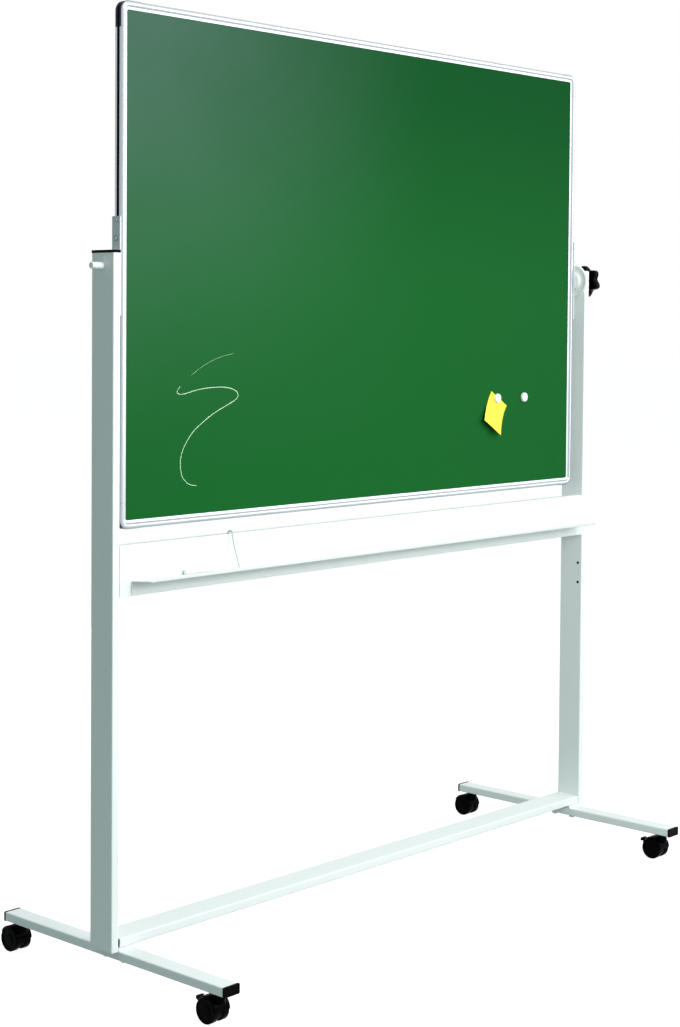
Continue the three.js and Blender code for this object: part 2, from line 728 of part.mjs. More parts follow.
function acrossLever(outline) {
  const section = outline.map(([y, z]) => new THREE.Vector2(y, z));
  const rings = [-1, 1].map((side) => section.map((p) => (
    new THREE.Vector3((side * LEVER_WIDTH) / 2, p.x, p.y))));
  return loft(section, rings);
}

function brakeLever() {
  const [y, z] = knucklePlace;
  const half = LEVER_WIDTH / 2;
  const knuckle = bar('x', LEVER_KNUCKLE_RADIUS, -half, half, [0, y, z], 16);
  const pinReach = half + SEAT + EAR_THICKNESS;
  const pin = bar('x', LEVER_PIN_RADIUS, -pinReach, pinReach, [0, y, z], 12);
  const t = LEVER_THICKNESS / 2;
  const [middleY, middleZ] = [(y + LEVER_REACH) / 2, (z + LEVER_TIP_HEIGHT) / 2];
  const tab = acrossLever([
    [y, z + LEVER_KNUCKLE_RADIUS - t / 2],
    [y, z - t],
    [middleY, middleZ - t],
    [LEVER_REACH - 1, LEVER_TIP_HEIGHT - t],
    [LEVER_REACH, LEVER_TIP_HEIGHT],
    [LEVER_REACH - 1, LEVER_TIP_HEIGHT + t],
    [middleY, middleZ + 2 * t],
  ]);
  const touching = WHEEL_RADIUS / Math.cos(Math.PI / WHEEL_STEPS) + SEAT;
  const shoe = acrossLever([
    [y - t, z],
    beforeBraking(polar(touching, SHOE_ANGLE)),
    beforeBraking(polar(touching + SHOE_THICKNESS, SHOE_ANGLE)),
    [y + t, z],
  ]);
  return join(knuckle, pin, tab, shoe);
}

// One wheel of a pair. Its open side faces the rib at x = 0, and a flat of its
// tread lies on the floor.
function castorWheel() {
  const inside = HOOD_RIB / 2 + RUNNING;
  const outside = inside + WHEEL_WIDTH;
  const bore = AXLE_PIN_RADIUS + RUNNING;
  const tread = WHEEL_RADIUS / Math.cos(Math.PI / WHEEL_STEPS);
  const face = tread - WHEEL_SHOULDER;
  return turned([
    [bore, inside],
    [tread, inside],
    [tread, outside - WHEEL_SHOULDER],
    [tread - WHEEL_SHOULDER / 4, outside - WHEEL_SHOULDER / 4],
    [face, outside],
    [face - WHEEL_DISH, outside - WHEEL_DISH],
    [WHEEL_HUB_RADIUS + WHEEL_DISH, outside - WHEEL_DISH],
    [WHEEL_HUB_RADIUS, outside],
    [0, outside],
    [0, outside - WHEEL_WEB],
    [bore, outside - WHEEL_WEB],
    [bore, inside],
  ], WHEEL_STEPS).rotateX(Math.PI / WHEEL_STEPS).translate(0, CASTOR_TRAIL, WHEEL_RADIUS);
}

// Socket pressed into the foot, with the flange that the castor turns against
function castorSocket() {
  const bore = STEM_RADIUS + RUNNING;
  const top = SOCKET_DEPTH;
  return turned([
    [bore, -SOCKET_FLANGE],
    [SOCKET_RADIUS, -SOCKET_FLANGE],
    [SOCKET_RADIUS, -SEAT],
    [SOCKET_BODY_RADIUS, -SEAT],
    [SOCKET_BODY_RADIUS, top],
    [bore, top],
    [bore, -SOCKET_FLANGE],
  ], 16).rotateY(-Math.PI / 2).translate(0, 0, CASTOR_HEIGHT);
}

function castor(name, x, y, braked) {
  const group = new THREE.Group();
  group.position.set(x, y, 0);
  const wheel = castorWheel();
  group.add(piece(`${name}_castor_socket`, castorSocket(), DARK_NYLON));
  group.add(piece(`${name}_castor_hood`, castorHood(braked), DARK_NYLON));
  group.add(piece(`${name}_right_wheel`, wheel, DARK_NYLON));
  group.add(piece(`${name}_left_wheel`, mirroredX(wheel), DARK_NYLON));
  if (braked) group.add(piece(`${name}_brake_lever`, brakeLever(), DARK_NYLON));
  return group;
}

function magnet() {
  const back = -panelHalfThickness - SEAT;
  const front = back - MAGNET_HEIGHT;
  return turned([
    [0, back],
    [MAGNET_RADIUS - MAGNET_EDGE / 2, back],
    [MAGNET_RADIUS, back - MAGNET_EDGE / 2],
    [MAGNET_RADIUS - MAGNET_EDGE / 2, front + MAGNET_EDGE],
    [MAGNET_RADIUS - 2 * MAGNET_EDGE, front],
    [0, front],
  ]).rotateZ(Math.PI / 2);
}

// Assembly

function boardAssembly() {
  const group = new THREE.Group();
  group.position.z = pivotHeight;
  const coreFront = -CORE_THICKNESS / 2;
  group.add(piece('board_core', panelLayer(CORE_THICKNESS, coreFront), FIBREBOARD));
  const sheetFront = coreFront - BOND - SHEET_THICKNESS;
  group.add(piece('green_writing_sheet', panelLayer(SHEET_THICKNESS, sheetFront), GREEN_ENAMEL));
  const backFront = CORE_THICKNESS / 2 + BOND;
  group.add(piece('white_writing_sheet', panelLayer(SHEET_THICKNESS, backFront), WHITE_ENAMEL));
  const sides = {
    top: { along: 'x', sign: 1 },
    bottom: { along: 'x', sign: -1 },
    left: { along: 'z', sign: -1 },
    right: { along: 'z', sign: 1 },
  };
  for (const [name, side] of Object.entries(sides)) {
    group.add(piece(`${name}_frame_profile`, straightProfile(side), ALUMINIUM));
  }
  for (const [nameX, signX] of [['left', -1], ['right', 1]]) {
    for (const [nameZ, signZ] of [['top', 1], ['bottom', -1]]) {
      group.add(piece(`${nameZ}_${nameX}_frame_corner`, cornerProfile(signX, signZ), ALUMINIUM));
    }
  }
  const axleInCap = outerX + AXLE_CAP_LENGTH - AXLE_CAP_END - 1;
  const axleInKnob = outerX + WASHER_THICKNESS + KNOB_BORE_DEPTH;
  group.add(piece('left_pivot_bracket', mirroredX(pivotBracket(axleInCap)), GREY_STEEL));
  group.add(piece('right_pivot_bracket', pivotBracket(axleInKnob), GREY_STEEL));
  group.add(piece('left_axle_cap', mirroredX(axleCap()), WHITE_PLASTIC));
  group.add(piece('clamp_washer', clampWasher(), ZINC));
  group.add(piece('clamp_knob', clampKnob(), BLACK_PLASTIC));
  [0, 1].forEach((i) => {
    const fromEdge = MAGNETS_FROM_EDGE - MAGNET_PITCH * (i - 0.5);
    const place = [halfWidth - fromEdge, 0, MAGNETS_ABOVE_EDGE - halfHeight];
    group.add(piece(`magnet_${i + 1}`, magnet(), WHITE_PLASTIC, place));
  });
  return group;
}

function sidePieces(name, sign) {
  const group = new THREE.Group();
  const side = (geometry) => (sign > 0 ? geometry : mirroredX(geometry));
  const middle = sign * (innerX + TUBE_NARROW / 2);
  const footX = sign * footCentre;
  group.add(piece(`${name}_upright`, side(upright()), WHITE_STEEL));
  const cap = tubePlug(TUBE_NARROW, TUBE_WIDE, CAP_FLANGE);
  group.add(piece(`${name}_upright_cap`, cap, BLACK_PLASTIC, [middle, 0, uprightTop + SEAT]));
  group.add(piece(`${name}_foot`, side(foot()), WHITE_STEEL));
  group.add(piece(`${name}_rail_mount`, side(railMount()), WHITE_STEEL));
  const tubeEnd = FOOT_LENGTH / 2 - FOOT_CAP_FLANGE + SEAT;
  const capZ = footBottom + FOOT_HEIGHT / 2;
  group.add(piece(`${name}_front_foot_cap`, footCap(), BLACK_PLASTIC, [footX, -tubeEnd, capZ]));
  const rearCap = footCap().rotateZ(Math.PI);
  group.add(piece(`${name}_rear_foot_cap`, rearCap, BLACK_PLASTIC, [footX, tubeEnd, capZ]));
  boltPlaces.forEach((y, i) => {
    const word = ['front', 'rear'][i];
    group.add(piece(`${name}_${word}_foot_bolt`, footBolt(), ZINC, [footX, y, footBottom]));
  });
  group.add(castor(`${name}_front`, footX, -castorY, true));
  group.add(castor(`${name}_rear`, footX, castorY, false));
  return group;
}

function standAssembly() {
  const group = new THREE.Group();
  group.add(sidePieces('left', -1), sidePieces('right', 1));
  group.add(piece('crossbar', crossbar(), WHITE_STEEL));
  group.add(piece('chalk_tray', chalkTray(), WHITE_STEEL));
  group.add(piece('wire_stay', wireStay(), WHITE_STEEL, [WIRE_FROM_UPRIGHT - innerX, 0, 0]));
  group.add(piece('bottom_rail', bottomRail(), WHITE_STEEL));
  group.add(piece('left_pivot_bush', mirroredX(pivotBush()), WHITE_PLASTIC, [0, 0, pivotHeight]));
  group.add(piece('friction_disc', frictionDisc(), WHITE_PLASTIC, [0, 0, pivotHeight]));
  const chalkStart = -innerX + TRAY_END_INSET + CHALK_FROM_TRAY_END;
  const chalkFromPanel = CHALK_RADIUS + 2 * SEAT + SHEET_STEEL;
  const chalk = bar('x', CHALK_RADIUS, 0, CHALK_LENGTH, [0, 0, 0], 16);
  group.add(piece('chalk_stick', chalk, CHALK_WHITE, [
    chalkStart,
    tubeFront - chalkFromPanel,
    shelfTop(chalkFromPanel) + CHALK_RADIUS + SEAT,
  ]));
  return group;
}

const whiteboard = new THREE.Group();
whiteboard.add(standAssembly(), boardAssembly());

// The origin is on the floor, under the middle of the whole outline
const outline = new THREE.Box3().setFromObject(whiteboard);
const centre = outline.getCenter(new THREE.Vector3());
whiteboard.position.set(-centre.x, -centre.y, -outline.min.z);

export default whiteboard;
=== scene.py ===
# %% [markdown]
# # Revolving writing board
#
# An enamelled steel writing board in a slim aluminium frame turns about a level axle
# between two white steel uprights. The uprights stand on a rail and two feet with twin
# wheel castors. The CAD frame gives every place and size; this script gives the object
# its finer edges, its finishes, its screws, its note and its chalk.

# %% Start from the CAD frame
import math

import bmesh
import bpy
from mathutils import Matrix, Vector


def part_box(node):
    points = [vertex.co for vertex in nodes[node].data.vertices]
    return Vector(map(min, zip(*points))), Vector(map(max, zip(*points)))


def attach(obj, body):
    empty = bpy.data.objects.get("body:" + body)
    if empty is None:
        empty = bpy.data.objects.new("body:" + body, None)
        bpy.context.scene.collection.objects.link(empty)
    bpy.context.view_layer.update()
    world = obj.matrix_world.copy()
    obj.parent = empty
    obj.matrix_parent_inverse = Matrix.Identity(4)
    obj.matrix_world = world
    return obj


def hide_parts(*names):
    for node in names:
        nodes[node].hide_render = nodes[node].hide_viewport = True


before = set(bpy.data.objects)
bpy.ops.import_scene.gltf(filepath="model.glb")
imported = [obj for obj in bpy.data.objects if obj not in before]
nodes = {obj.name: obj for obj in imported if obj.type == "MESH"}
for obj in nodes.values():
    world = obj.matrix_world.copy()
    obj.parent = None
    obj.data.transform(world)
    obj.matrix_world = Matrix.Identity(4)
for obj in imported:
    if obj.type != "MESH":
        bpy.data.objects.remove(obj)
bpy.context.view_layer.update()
print("CAD nodes:", len(nodes))

# %% [markdown]
# ## Where things are
#
# Sizes are written in millimetres as on a drawing. The middle of the board is the
# datum: X runs along the board, Y from its green side to its white side, Z up.

# %% Units, datum and small helpers
MM = 0.001


def middle(node):
    low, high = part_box(node)
    return Vector([(a + b) / 2 for a, b in zip(low, high)])


DATUM = middle("board_core")


def at(x, y, z):
    """A place given in millimetres from the middle of the board."""
    return DATUM + Vector((x, y, z)) * MM


def put(obj, body, slot, *replaced, finish=None):
    """Gives a piece its finish and its body, and hides the CAD nodes that it stands for.

    The finish is the one of the record's slot, unless another is named."""
    obj.data.materials.clear()
    obj.data.materials.append(FINISH[finish or slot])
    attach(obj, body)
    if replaced:
        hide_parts(*replaced)


def new_object(name, data):
    obj = bpy.data.objects.new(name, data)
    bpy.context.scene.collection.objects.link(obj)
    return obj


def new_mesh(name, points, faces=()):
    mesh = bpy.data.meshes.new(name)
    mesh.from_pydata(points, [], faces)
    return mesh


def node(tree, kind, settings=None, **inputs):
    """Adds a node to a shader or geometry tree.

    An input is a constant, a socket, or a node whose first output is taken. Where two
    inputs have one name, _2 is the input at place 2."""
    made = tree.nodes.new(kind)
    for key, value in (settings or {}).items():
        setattr(made, key, value)
    for key, value in inputs.items():
        socket = made.inputs[int(key[1:]) if key[0] == "_" else key.replace("_", " ")]
        if isinstance(value, bpy.types.Node):
            value = value.outputs[0]
        if isinstance(value, bpy.types.NodeSocket):
            tree.links.new(value, socket)
        else:
            socket.default_value = value
    return made


print("board centre (m):", tuple(round(v, 4) for v in DATUM))

# %% [markdown]
# ## Camera
#
# The photograph was taken from the left end, a little below the middle of the board.
# The place, the focal length and the shift come from a fit to the corners of the board.

# %% Camera
PHOTO_WIDTH, PHOTO_HEIGHT = 680, 1027
FOCAL_PIXELS = 1891.541
CENTRE_X, CENTRE_Y = 240.0, 390.76
EYE = (-3163.919, -2657.671, -100.864)
YAW, PITCH, ROLL = (math.radians(v) for v in (-45.966, 2.141, 0.319))
SENSOR, FARTHEST = 36, 200

forward = Vector((-math.sin(YAW) * math.cos(PITCH),
                  math.cos(YAW) * math.cos(PITCH), -math.sin(PITCH)))
right = forward.cross(Vector((0, 0, 1))).normalized()
up = right.cross(forward)
axis_x = right * math.cos(ROLL) + up * math.sin(ROLL)
axis_y = up * math.cos(ROLL) - right * math.sin(ROLL)

camera_data = bpy.data.cameras.new("camera")
camera = new_object("camera", camera_data)
camera_data.sensor_width = SENSOR
camera_data.lens = FOCAL_PIXELS / PHOTO_HEIGHT * SENSOR
camera_data.shift_x = (PHOTO_WIDTH / 2 - CENTRE_X) / PHOTO_HEIGHT
camera_data.shift_y = (CENTRE_Y - PHOTO_HEIGHT / 2) / PHOTO_HEIGHT
camera_data.clip_end = FARTHEST
turn = Matrix((axis_x, axis_y, -forward)).transposed().to_4x4()
camera.matrix_world = Matrix.Translation(at(*EYE)) @ turn
bpy.context.scene.camera = camera
print("camera at (m):", tuple(round(v, 3) for v in camera.location))

# %% [markdown]
# ## Light and floor
#
# A soft lamp hangs high in front of the board, a wide softbox stands in front to the
# right and a weaker lamp in front to the left, so that the fronts are evenly bright from
# the floor up while faces to the left stay grey. A fourth lamp lights the rear. The left
# and the rear lamp aren't mirrored by the metal frame.
#
# The surroundings are white where they are seen, mirrored or let through, and give the
# object a weak cool fill. The floor is plain and pale and keeps the object's soft shadow.

# %% Lamps, surroundings and floor
FRONT_MIDDLE, LEFT_POST = (0, 0, 1.2), (0.1, 0, 0.7)
# place and target in m, diameter in m, power in W, colour, whether gloss mirrors it
LAMPS = {
    "high_lamp": ((0.0, -3.3, 4.0), FRONT_MIDDLE, 1.3, 61, (1.0, 0.985, 0.96), True),
    "right_softbox": ((2.8, -2.8, 1.9), FRONT_MIDDLE, 2.9, 66, (1.0, 0.99, 0.98), True),
    "left_lamp": ((-0.6, -2.2, 1.6), LEFT_POST, 1.2, 34, (1.0, 0.98, 0.97), False),
    "rear_lamp": ((1.2, 3.6, 0.7), FRONT_MIDDLE, 2.2, 55, (1.0, 0.98, 0.97), False),
}
WHITE = (1, 1, 1, 1)
FILL, FILL_STRENGTH = "D7F3F1", 0.475
FLOOR_HALF, FLOOR_GREY, FLOOR_GLOW, FLOOR_UNSEEN = 60, (0.3, 0.3, 0.3, 1), 0.9, "8A9593"


def linear(hex_colour):
    """sRGB hex to linear RGBA."""
    channels = [int(hex_colour[i:i + 2], 16) / 255 for i in (0, 2, 4)]
    return (*(c / 12.92 if c <= 0.04045 else ((c + 0.055) / 1.055) ** 2.4 for c in channels), 1.0)


def white_when_seen(tree, output, unseen, seen):
    """Shows one shader to rays that are seen, mirrored or let through, the other to the rest."""
    path = node(tree, "ShaderNodeLightPath")
    counted = path.outputs["Is Camera Ray"]
    for kind in ("Is Glossy Ray", "Is Transmission Ray"):
        counted = node(tree, "ShaderNodeMath", {"operation": "MAXIMUM"},
                       _0=counted, _1=path.outputs[kind]).outputs[0]
    either = node(tree, "ShaderNodeMixShader", Fac=counted, _1=unseen, _2=seen)
    node(tree, output, Surface=either)


for name, (place, target, diameter, power, colour, mirrored) in LAMPS.items():
    data = bpy.data.lights.new(name, "AREA")
    data.shape, data.size, data.energy, data.color = "DISK", diameter, power, colour
    lamp = new_object(name, data)
    lamp.location = place
    away = Vector(place) - Vector(target)
    lamp.rotation_euler = away.to_track_quat("Z", "Y").to_euler()
    lamp.visible_camera, lamp.visible_glossy = False, mirrored

world = bpy.data.worlds.new("studio")
bpy.context.scene.world = world
world.use_nodes = True
tree = world.node_tree
tree.nodes.clear()
fill = node(tree, "ShaderNodeBackground", Color=linear(FILL), Strength=FILL_STRENGTH)
backdrop = node(tree, "ShaderNodeBackground", Color=WHITE, Strength=1.0)
white_when_seen(tree, "ShaderNodeOutputWorld", fill, backdrop)

floor_mesh = new_mesh("floor", [(-FLOOR_HALF, -FLOOR_HALF, 0), (FLOOR_HALF, -FLOOR_HALF, 0),
                                (FLOOR_HALF, FLOOR_HALF, 0), (-FLOOR_HALF, FLOOR_HALF, 0)],
                      [(0, 1, 2, 3)])
floor = new_object("floor", floor_mesh)
floor_paint = bpy.data.materials.new("pale_studio_floor")
floor_paint.use_nodes = True
tree = floor_paint.node_tree
tree.nodes.clear()
lit = node(tree, "ShaderNodeBsdfDiffuse", Color=FLOOR_GREY)
glow = node(tree, "ShaderNodeEmission", Color=WHITE, Strength=FLOOR_GLOW)
bright = node(tree, "ShaderNodeAddShader", _0=lit, _1=glow)
dim = node(tree, "ShaderNodeBsdfDiffuse", Color=linear(FLOOR_UNSEEN))
white_when_seen(tree, "ShaderNodeOutputMaterial", dim, bright)
floor_mesh.materials.append(floor_paint)

bpy.context.scene.view_settings.view_transform = "Standard"
print("lamps:", list(LAMPS))

# %% [markdown]
# ## Finishes
#
# Each finish is a small node tree named for the real material. `material` makes the
# tree with its shader, and `plain` adds the fine relief that the process leaves. Patterns
# lie on Object coordinates, so they keep their place on a piece. A grain of 600 means 600
# to a metre, 1.7 mm each. The real ones are finer and wouldn't show in a render.

# %% Material helpers


def material(name, colour, roughness, metallic=0.0, specular=0.5):
    made = bpy.data.materials.new(name)
    made.use_nodes = True
    made.diffuse_color = linear(colour)
    shader = made.node_tree.nodes["Principled BSDF"]
    for key, value in (("Base Color", linear(colour)), ("Roughness", roughness),
                       ("Metallic", metallic), ("Specular IOR Level", specular)):
        shader.inputs[key].default_value = value
    return made, made.node_tree, shader


def plain(name, colour, roughness, metallic=0.0, specular=0.5,
          grain=600, detail=2.0, strength=0.05, depth=0.0003):
    """One colour with a fine relief: a noise of that grain, depth in metres."""
    made, tree, shader = material(name, colour, roughness, metallic, specular)
    place = node(tree, "ShaderNodeTexCoord").outputs["Object"]
    relief = node(tree, "ShaderNodeTexNoise", Vector=place, Scale=grain, Detail=detail)
    bump = node(tree, "ShaderNodeBump", Height=relief, Strength=strength, Distance=depth)
    tree.links.new(bump.outputs["Normal"], shader.inputs["Normal"])
    return made


# %% Green enamel
# painted shade: the enamel is darker towards its top; painted reflection: a pale sheen at its upper
# left
SHADED_TOP_ENAMEL, ENAMEL, SHEEN_TINT = "124D24", "195D29", "B4C6D2"
DARKER_FROM, DARKER_TO = 1.3, 1.9
SHEEN_RIGHT, SHEEN_LEFT, SHEEN_LOW, SHEEN_HIGH = 0.25, -0.85, 0.92, 2.0
SHEEN_SHARE = 0.128


SMOOTH, TIMES = {"interpolation_type": "SMOOTHSTEP"}, {"operation": "MULTIPLY"}
COLOURS = {"data_type": "RGBA"}


def green_enamel():
    """Green chalk enamel, darker towards its top: painted shade.

    A pale painted reflection lies over its upper left, uneven in strength."""
    made, tree, shader = material("green_chalk_enamel", ENAMEL, 0.5, specular=0.008)
    place = node(tree, "ShaderNodeTexCoord").outputs["Object"]
    axes = node(tree, "ShaderNodeSeparateXYZ", Vector=place)
    cloud = node(tree, "ShaderNodeTexNoise", Vector=place, Scale=2.2, Detail=4.0, Roughness=0.55)
    uneven = node(tree, "ShaderNodeMapRange", Value=cloud, From_Min=0.3, From_Max=0.7,
                  To_Min=0.85, To_Max=1.15)
    leftwards = node(tree, "ShaderNodeMapRange", SMOOTH, Value=axes.outputs["X"],
                     From_Min=SHEEN_RIGHT, From_Max=SHEEN_LEFT)
    aloft = node(tree, "ShaderNodeMapRange", SMOOTH, Value=axes.outputs["Z"],
                 From_Min=SHEEN_LOW, From_Max=SHEEN_HIGH)
    corner = node(tree, "ShaderNodeMath", TIMES, _0=leftwards, _1=aloft)
    sheen_patch = node(tree, "ShaderNodeMath", TIMES, _0=corner, _1=uneven)
    # the pale painted reflection, strongest at the upper left
    sheen_amount = node(tree, "ShaderNodeMath", TIMES, _0=sheen_patch, _1=SHEEN_SHARE)
    # painted shade: the enamel darker towards the top
    low = node(tree, "ShaderNodeMapRange", SMOOTH, Value=axes.outputs["Z"],
               From_Min=DARKER_TO, From_Max=DARKER_FROM)
    enamel = node(tree, "ShaderNodeMix", COLOURS,
                  _0=low, _6=linear(SHADED_TOP_ENAMEL), _7=linear(ENAMEL)).outputs[2]
    with_sheen = node(tree, "ShaderNodeMix", COLOURS,
                  _0=sheen_amount, _6=enamel, _7=linear(SHEEN_TINT)).outputs[2]
    tree.links.new(with_sheen, shader.inputs["Base Color"])
    return made


# %% Finishes
FINISH = {
    # white powder coat on the steel tube: almost smooth, with a very fine orange peel
    "white_steel": plain("white_powder_coat", "EDF2F1", 0.42, grain=420, detail=1.0, strength=0.06),
    # the board's frame, drawn and anodised to a satin that still mirrors softly
    "frame_aluminium": plain("satin_anodised_aluminium", "B7BEC4", 0.34, 0.85,
                             grain=900, detail=1.0, strength=0.03, depth=0.0002),
    "green_enamel": green_enamel(),
    # stoved enamel of the rear side: white, and smooth enough to mirror the room softly
    "white_enamel": plain("white_dry_wipe_enamel", "F4F6F5", 0.14, strength=0.01),
    # raw pressed wood fibres: brown, dull and rough
    "fibreboard": plain("pressed_fibreboard", "9A7B55", 0.85, strength=0.4),
    # caps and knob, moulded with a fine eroded grain: deep black with a soft sheen
    "black_plastic": plain("moulded_black_plastic", "020203", 0.24, strength=0.1, specular=0.025),
    # moulded nylon of the castors: deep black, almost without gloss
    "castor_nylon": plain("black_castor_nylon", "010103", 0.3, strength=0.08, specular=0.018),
    # guards on the frame's corners, half matt: their bluish slate is painted shade on the corners'
    # outer sides
    "corner_plastic": plain("slate_corner_plastic", "343A50", 0.45, strength=0.1, specular=0.15),
    # sprayed paint on the pivot brackets: light grey and even
    "grey_steel": plain("grey_painted_steel", "D0D7D9", 0.4),
    # moulded magnets, axle cap, friction disc and bush: white with a soft sheen
    "white_plastic": plain("moulded_white_plastic", "F1F3F2", 0.4),
    # electroplated screws and bolts: cool grey metal, darker than the plating itself: painted shade,
    # for heads that face down
    "zinc_steel": plain("bright_zinc_plate", "A4ABAE", 0.3, 0.7),
    # the wire stay is white steel, in light grey here: painted shade of the thin round wire, so that
    # it shows against the white steel
    "wire_coat": plain("wire_grey_painted_shade", "BBC5C2", 0.35),
    # dry pressed stick: white without any gloss
    "chalk": plain("pressed_chalk", "F5F5F3", 0.95, strength=0.5),
    # its dust rubbed on the enamel: the green below tints it
    "chalk_dust": plain("rubbed_chalk_dust", "D9F2D6", 0.95, specular=0.1),
    # uncoated note paper: strong yellow, matt, with its fibres
    "paper": plain("yellow_note_paper", "FFE94A", 0.8, grain=900, strength=0.15),
}

for obj in nodes.values():
    for held in obj.material_slots:
        wanted = next((key for key in FINISH if held.material and key in held.material.name), None)
        if wanted:
            held.material = FINISH[wanted]
print("finishes:", sorted(m.name for m in FINISH.values()))

# %% [markdown]
# ## Rounded edges on the steel and plastic pieces
#
# Rolled tube, folded sheet and moulded caps have no knife edges. Each of these pieces is
# a copy of its CAD shape with the loose triangles merged, the flat faces made whole and
# a small round on every edge, whose normals keep the flat faces flat.

# %% Pieces with rounded edges
WELD, FLAT_WITHIN, SHARP_FROM = 0.02, math.radians(1), math.radians(30)
PLATE_FACE, PLATE_EXTRA = 1.4, 1.0
UPRIGHT_CAP_SIZE, FOOT_CAP_SIZE = (1.09, 1.03, 1), (1.035, 1, 1.08)
SIDES = {"left": -1, "right": 1}
ENDS = {"front": -1, "rear": 1}
dependencies = bpy.context.evaluated_depsgraph_get


def whole(mesh):
    """Merges a CAD mesh's loose triangles and joins those that lie in one flat face."""
    shape = bmesh.new()
    shape.from_mesh(mesh)
    bmesh.ops.remove_doubles(shape, verts=shape.verts, dist=WELD * MM)
    bmesh.ops.dissolve_limit(shape, angle_limit=FLAT_WITHIN, verts=shape.verts, edges=shape.edges)
    shape.to_mesh(mesh)
    shape.free()


def rounded_edges(obj, width, segments=3, harden=True):
    bevel = obj.modifiers.new("rounded edges", "BEVEL")
    bevel.width, bevel.segments = width * MM, segments
    bevel.limit_method, bevel.angle_limit = "ANGLE", SHARP_FROM
    bevel.harden_normals = harden
    obj.modifiers.new("flat faces stay flat", "WEIGHTED_NORMAL").keep_sharp = True


def cut_away(mesh, cutter_mesh, operation="DIFFERENCE"):
    body, cutter = new_object("body", mesh), new_object("cutter", cutter_mesh)
    change = body.modifiers.new("cut", "BOOLEAN")
    change.operation, change.solver, change.object = operation, "EXACT", cutter
    made = bpy.data.meshes.new_from_object(body.evaluated_get(dependencies()))
    bpy.data.objects.remove(body)
    bpy.data.objects.remove(cutter)
    return made


def refined(name, width, body, slot, grow=(1, 1, 1), cutters=(), end=0):
    """A copy of a CAD node with rounded edges.

    It may be made a little larger, be cut, or get a thicker plate at its front or rear end."""
    mesh = nodes[name].data.copy()
    centre = middle(name)
    mesh.transform(Matrix.Translation(centre) @ Matrix.Diagonal((*grow, 1))
                   @ Matrix.Translation(-centre))
    if end:
        low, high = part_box(name)
        plate = low[1] if end < 0 else high[1]
        for vertex in mesh.vertices:
            if abs(vertex.co.y - plate) < PLATE_FACE * MM:
                vertex.co.y += end * PLATE_EXTRA * MM
    whole(mesh)
    for cutter in cutters:
        mesh = cut_away(mesh, cutter)
    mesh.name = name + "_finished"
    mesh.shade_smooth()
    obj = new_object(name + "_finished", mesh)
    rounded_edges(obj, width)
    put(obj, body, slot, name)


for side in SIDES:
    refined(side + "_upright", 0.5, "stand", "white_steel")
    refined(side + "_upright_cap", 0.8, "stand", "black_plastic", UPRIGHT_CAP_SIZE)
    refined(side + "_foot", 0.5, "stand", "white_steel")
    refined(side + "_rail_mount", 0.4, "stand", "white_steel")
    for end, outward_y in ENDS.items():
        refined(f"{side}_{end}_foot_cap", 0.5, "stand", "black_plastic", FOOT_CAP_SIZE, end=outward_y)
refined("bottom_rail", 0.5, "stand", "white_steel")
refined("crossbar", 0.6, "stand", "white_steel")

# %% [markdown]
# ## Frame of the board
#
# The frame is an extruded aluminium profile: a rounded outer band, a slope down to a lower
# inner band, and a groove round the outside. It is a section swept along a path, so a
# Geometry Nodes tree sweeps it, once for each straight bar and each bent corner. The
# outer side of each corner is covered by a dark guard, swept the same way, whose dark
# slate colour is painted shade on the corners' outer sides.

# %% Sections and paths
NEARLY_STRAIGHT, SIDE_SHARE = 0.01, 0.48


def filleted(corners, radius=0, steps=5):
    """Rounds a closed outline of corners (u, v), or (u, v, r) where a corner has its own radius."""
    result = []
    for i, (u, v, *own) in enumerate(corners):
        here = Vector((u, v))
        before = Vector(corners[i - 1][:2]) - here
        after = Vector(corners[(i + 1) % len(corners)][:2]) - here
        bend = own[0] if own else radius
        turn = math.pi - before.angle(after)
        if bend == 0 or turn < NEARLY_STRAIGHT:
            result.append(tuple(here))
            continue
        reach = min(bend * math.tan(turn / 2), SIDE_SHARE * before.length, SIDE_SHARE * after.length)
        start, end = here + before.normalized() * reach, here + after.normalized() * reach
        result += [tuple(bent(start, here, end, k / steps)) for k in range(steps + 1)]
    return result


def bent(start, bend, end, t):
    """A place on the parabola from start to end that leans on bend."""
    return start * (1 - t) ** 2 + bend * (2 * t * (1 - t)) + end * t ** 2


def poly_curve(name, points, closed=False):
    data = bpy.data.curves.new(name, "CURVE")
    data.dimensions, data.twist_mode = "3D", "Z_UP"
    spline = data.splines.new("POLY")
    spline.points.add(len(points) - 1)
    for held, place in zip(spline.points, points):
        held.co = (*(Vector(place).to_3d() * MM), 1)
    spline.use_cyclic_u = closed
    return new_object(name, data)


def arc(centre, radii, start, end, steps):
    """Places on an ellipse from one angle to another, in degrees."""
    angles = [math.radians(start + (end - start) * i / steps) for i in range(steps + 1)]
    return [(centre[0] + radii[0] * math.cos(a), centre[1] + radii[1] * math.sin(a))
            for a in angles]


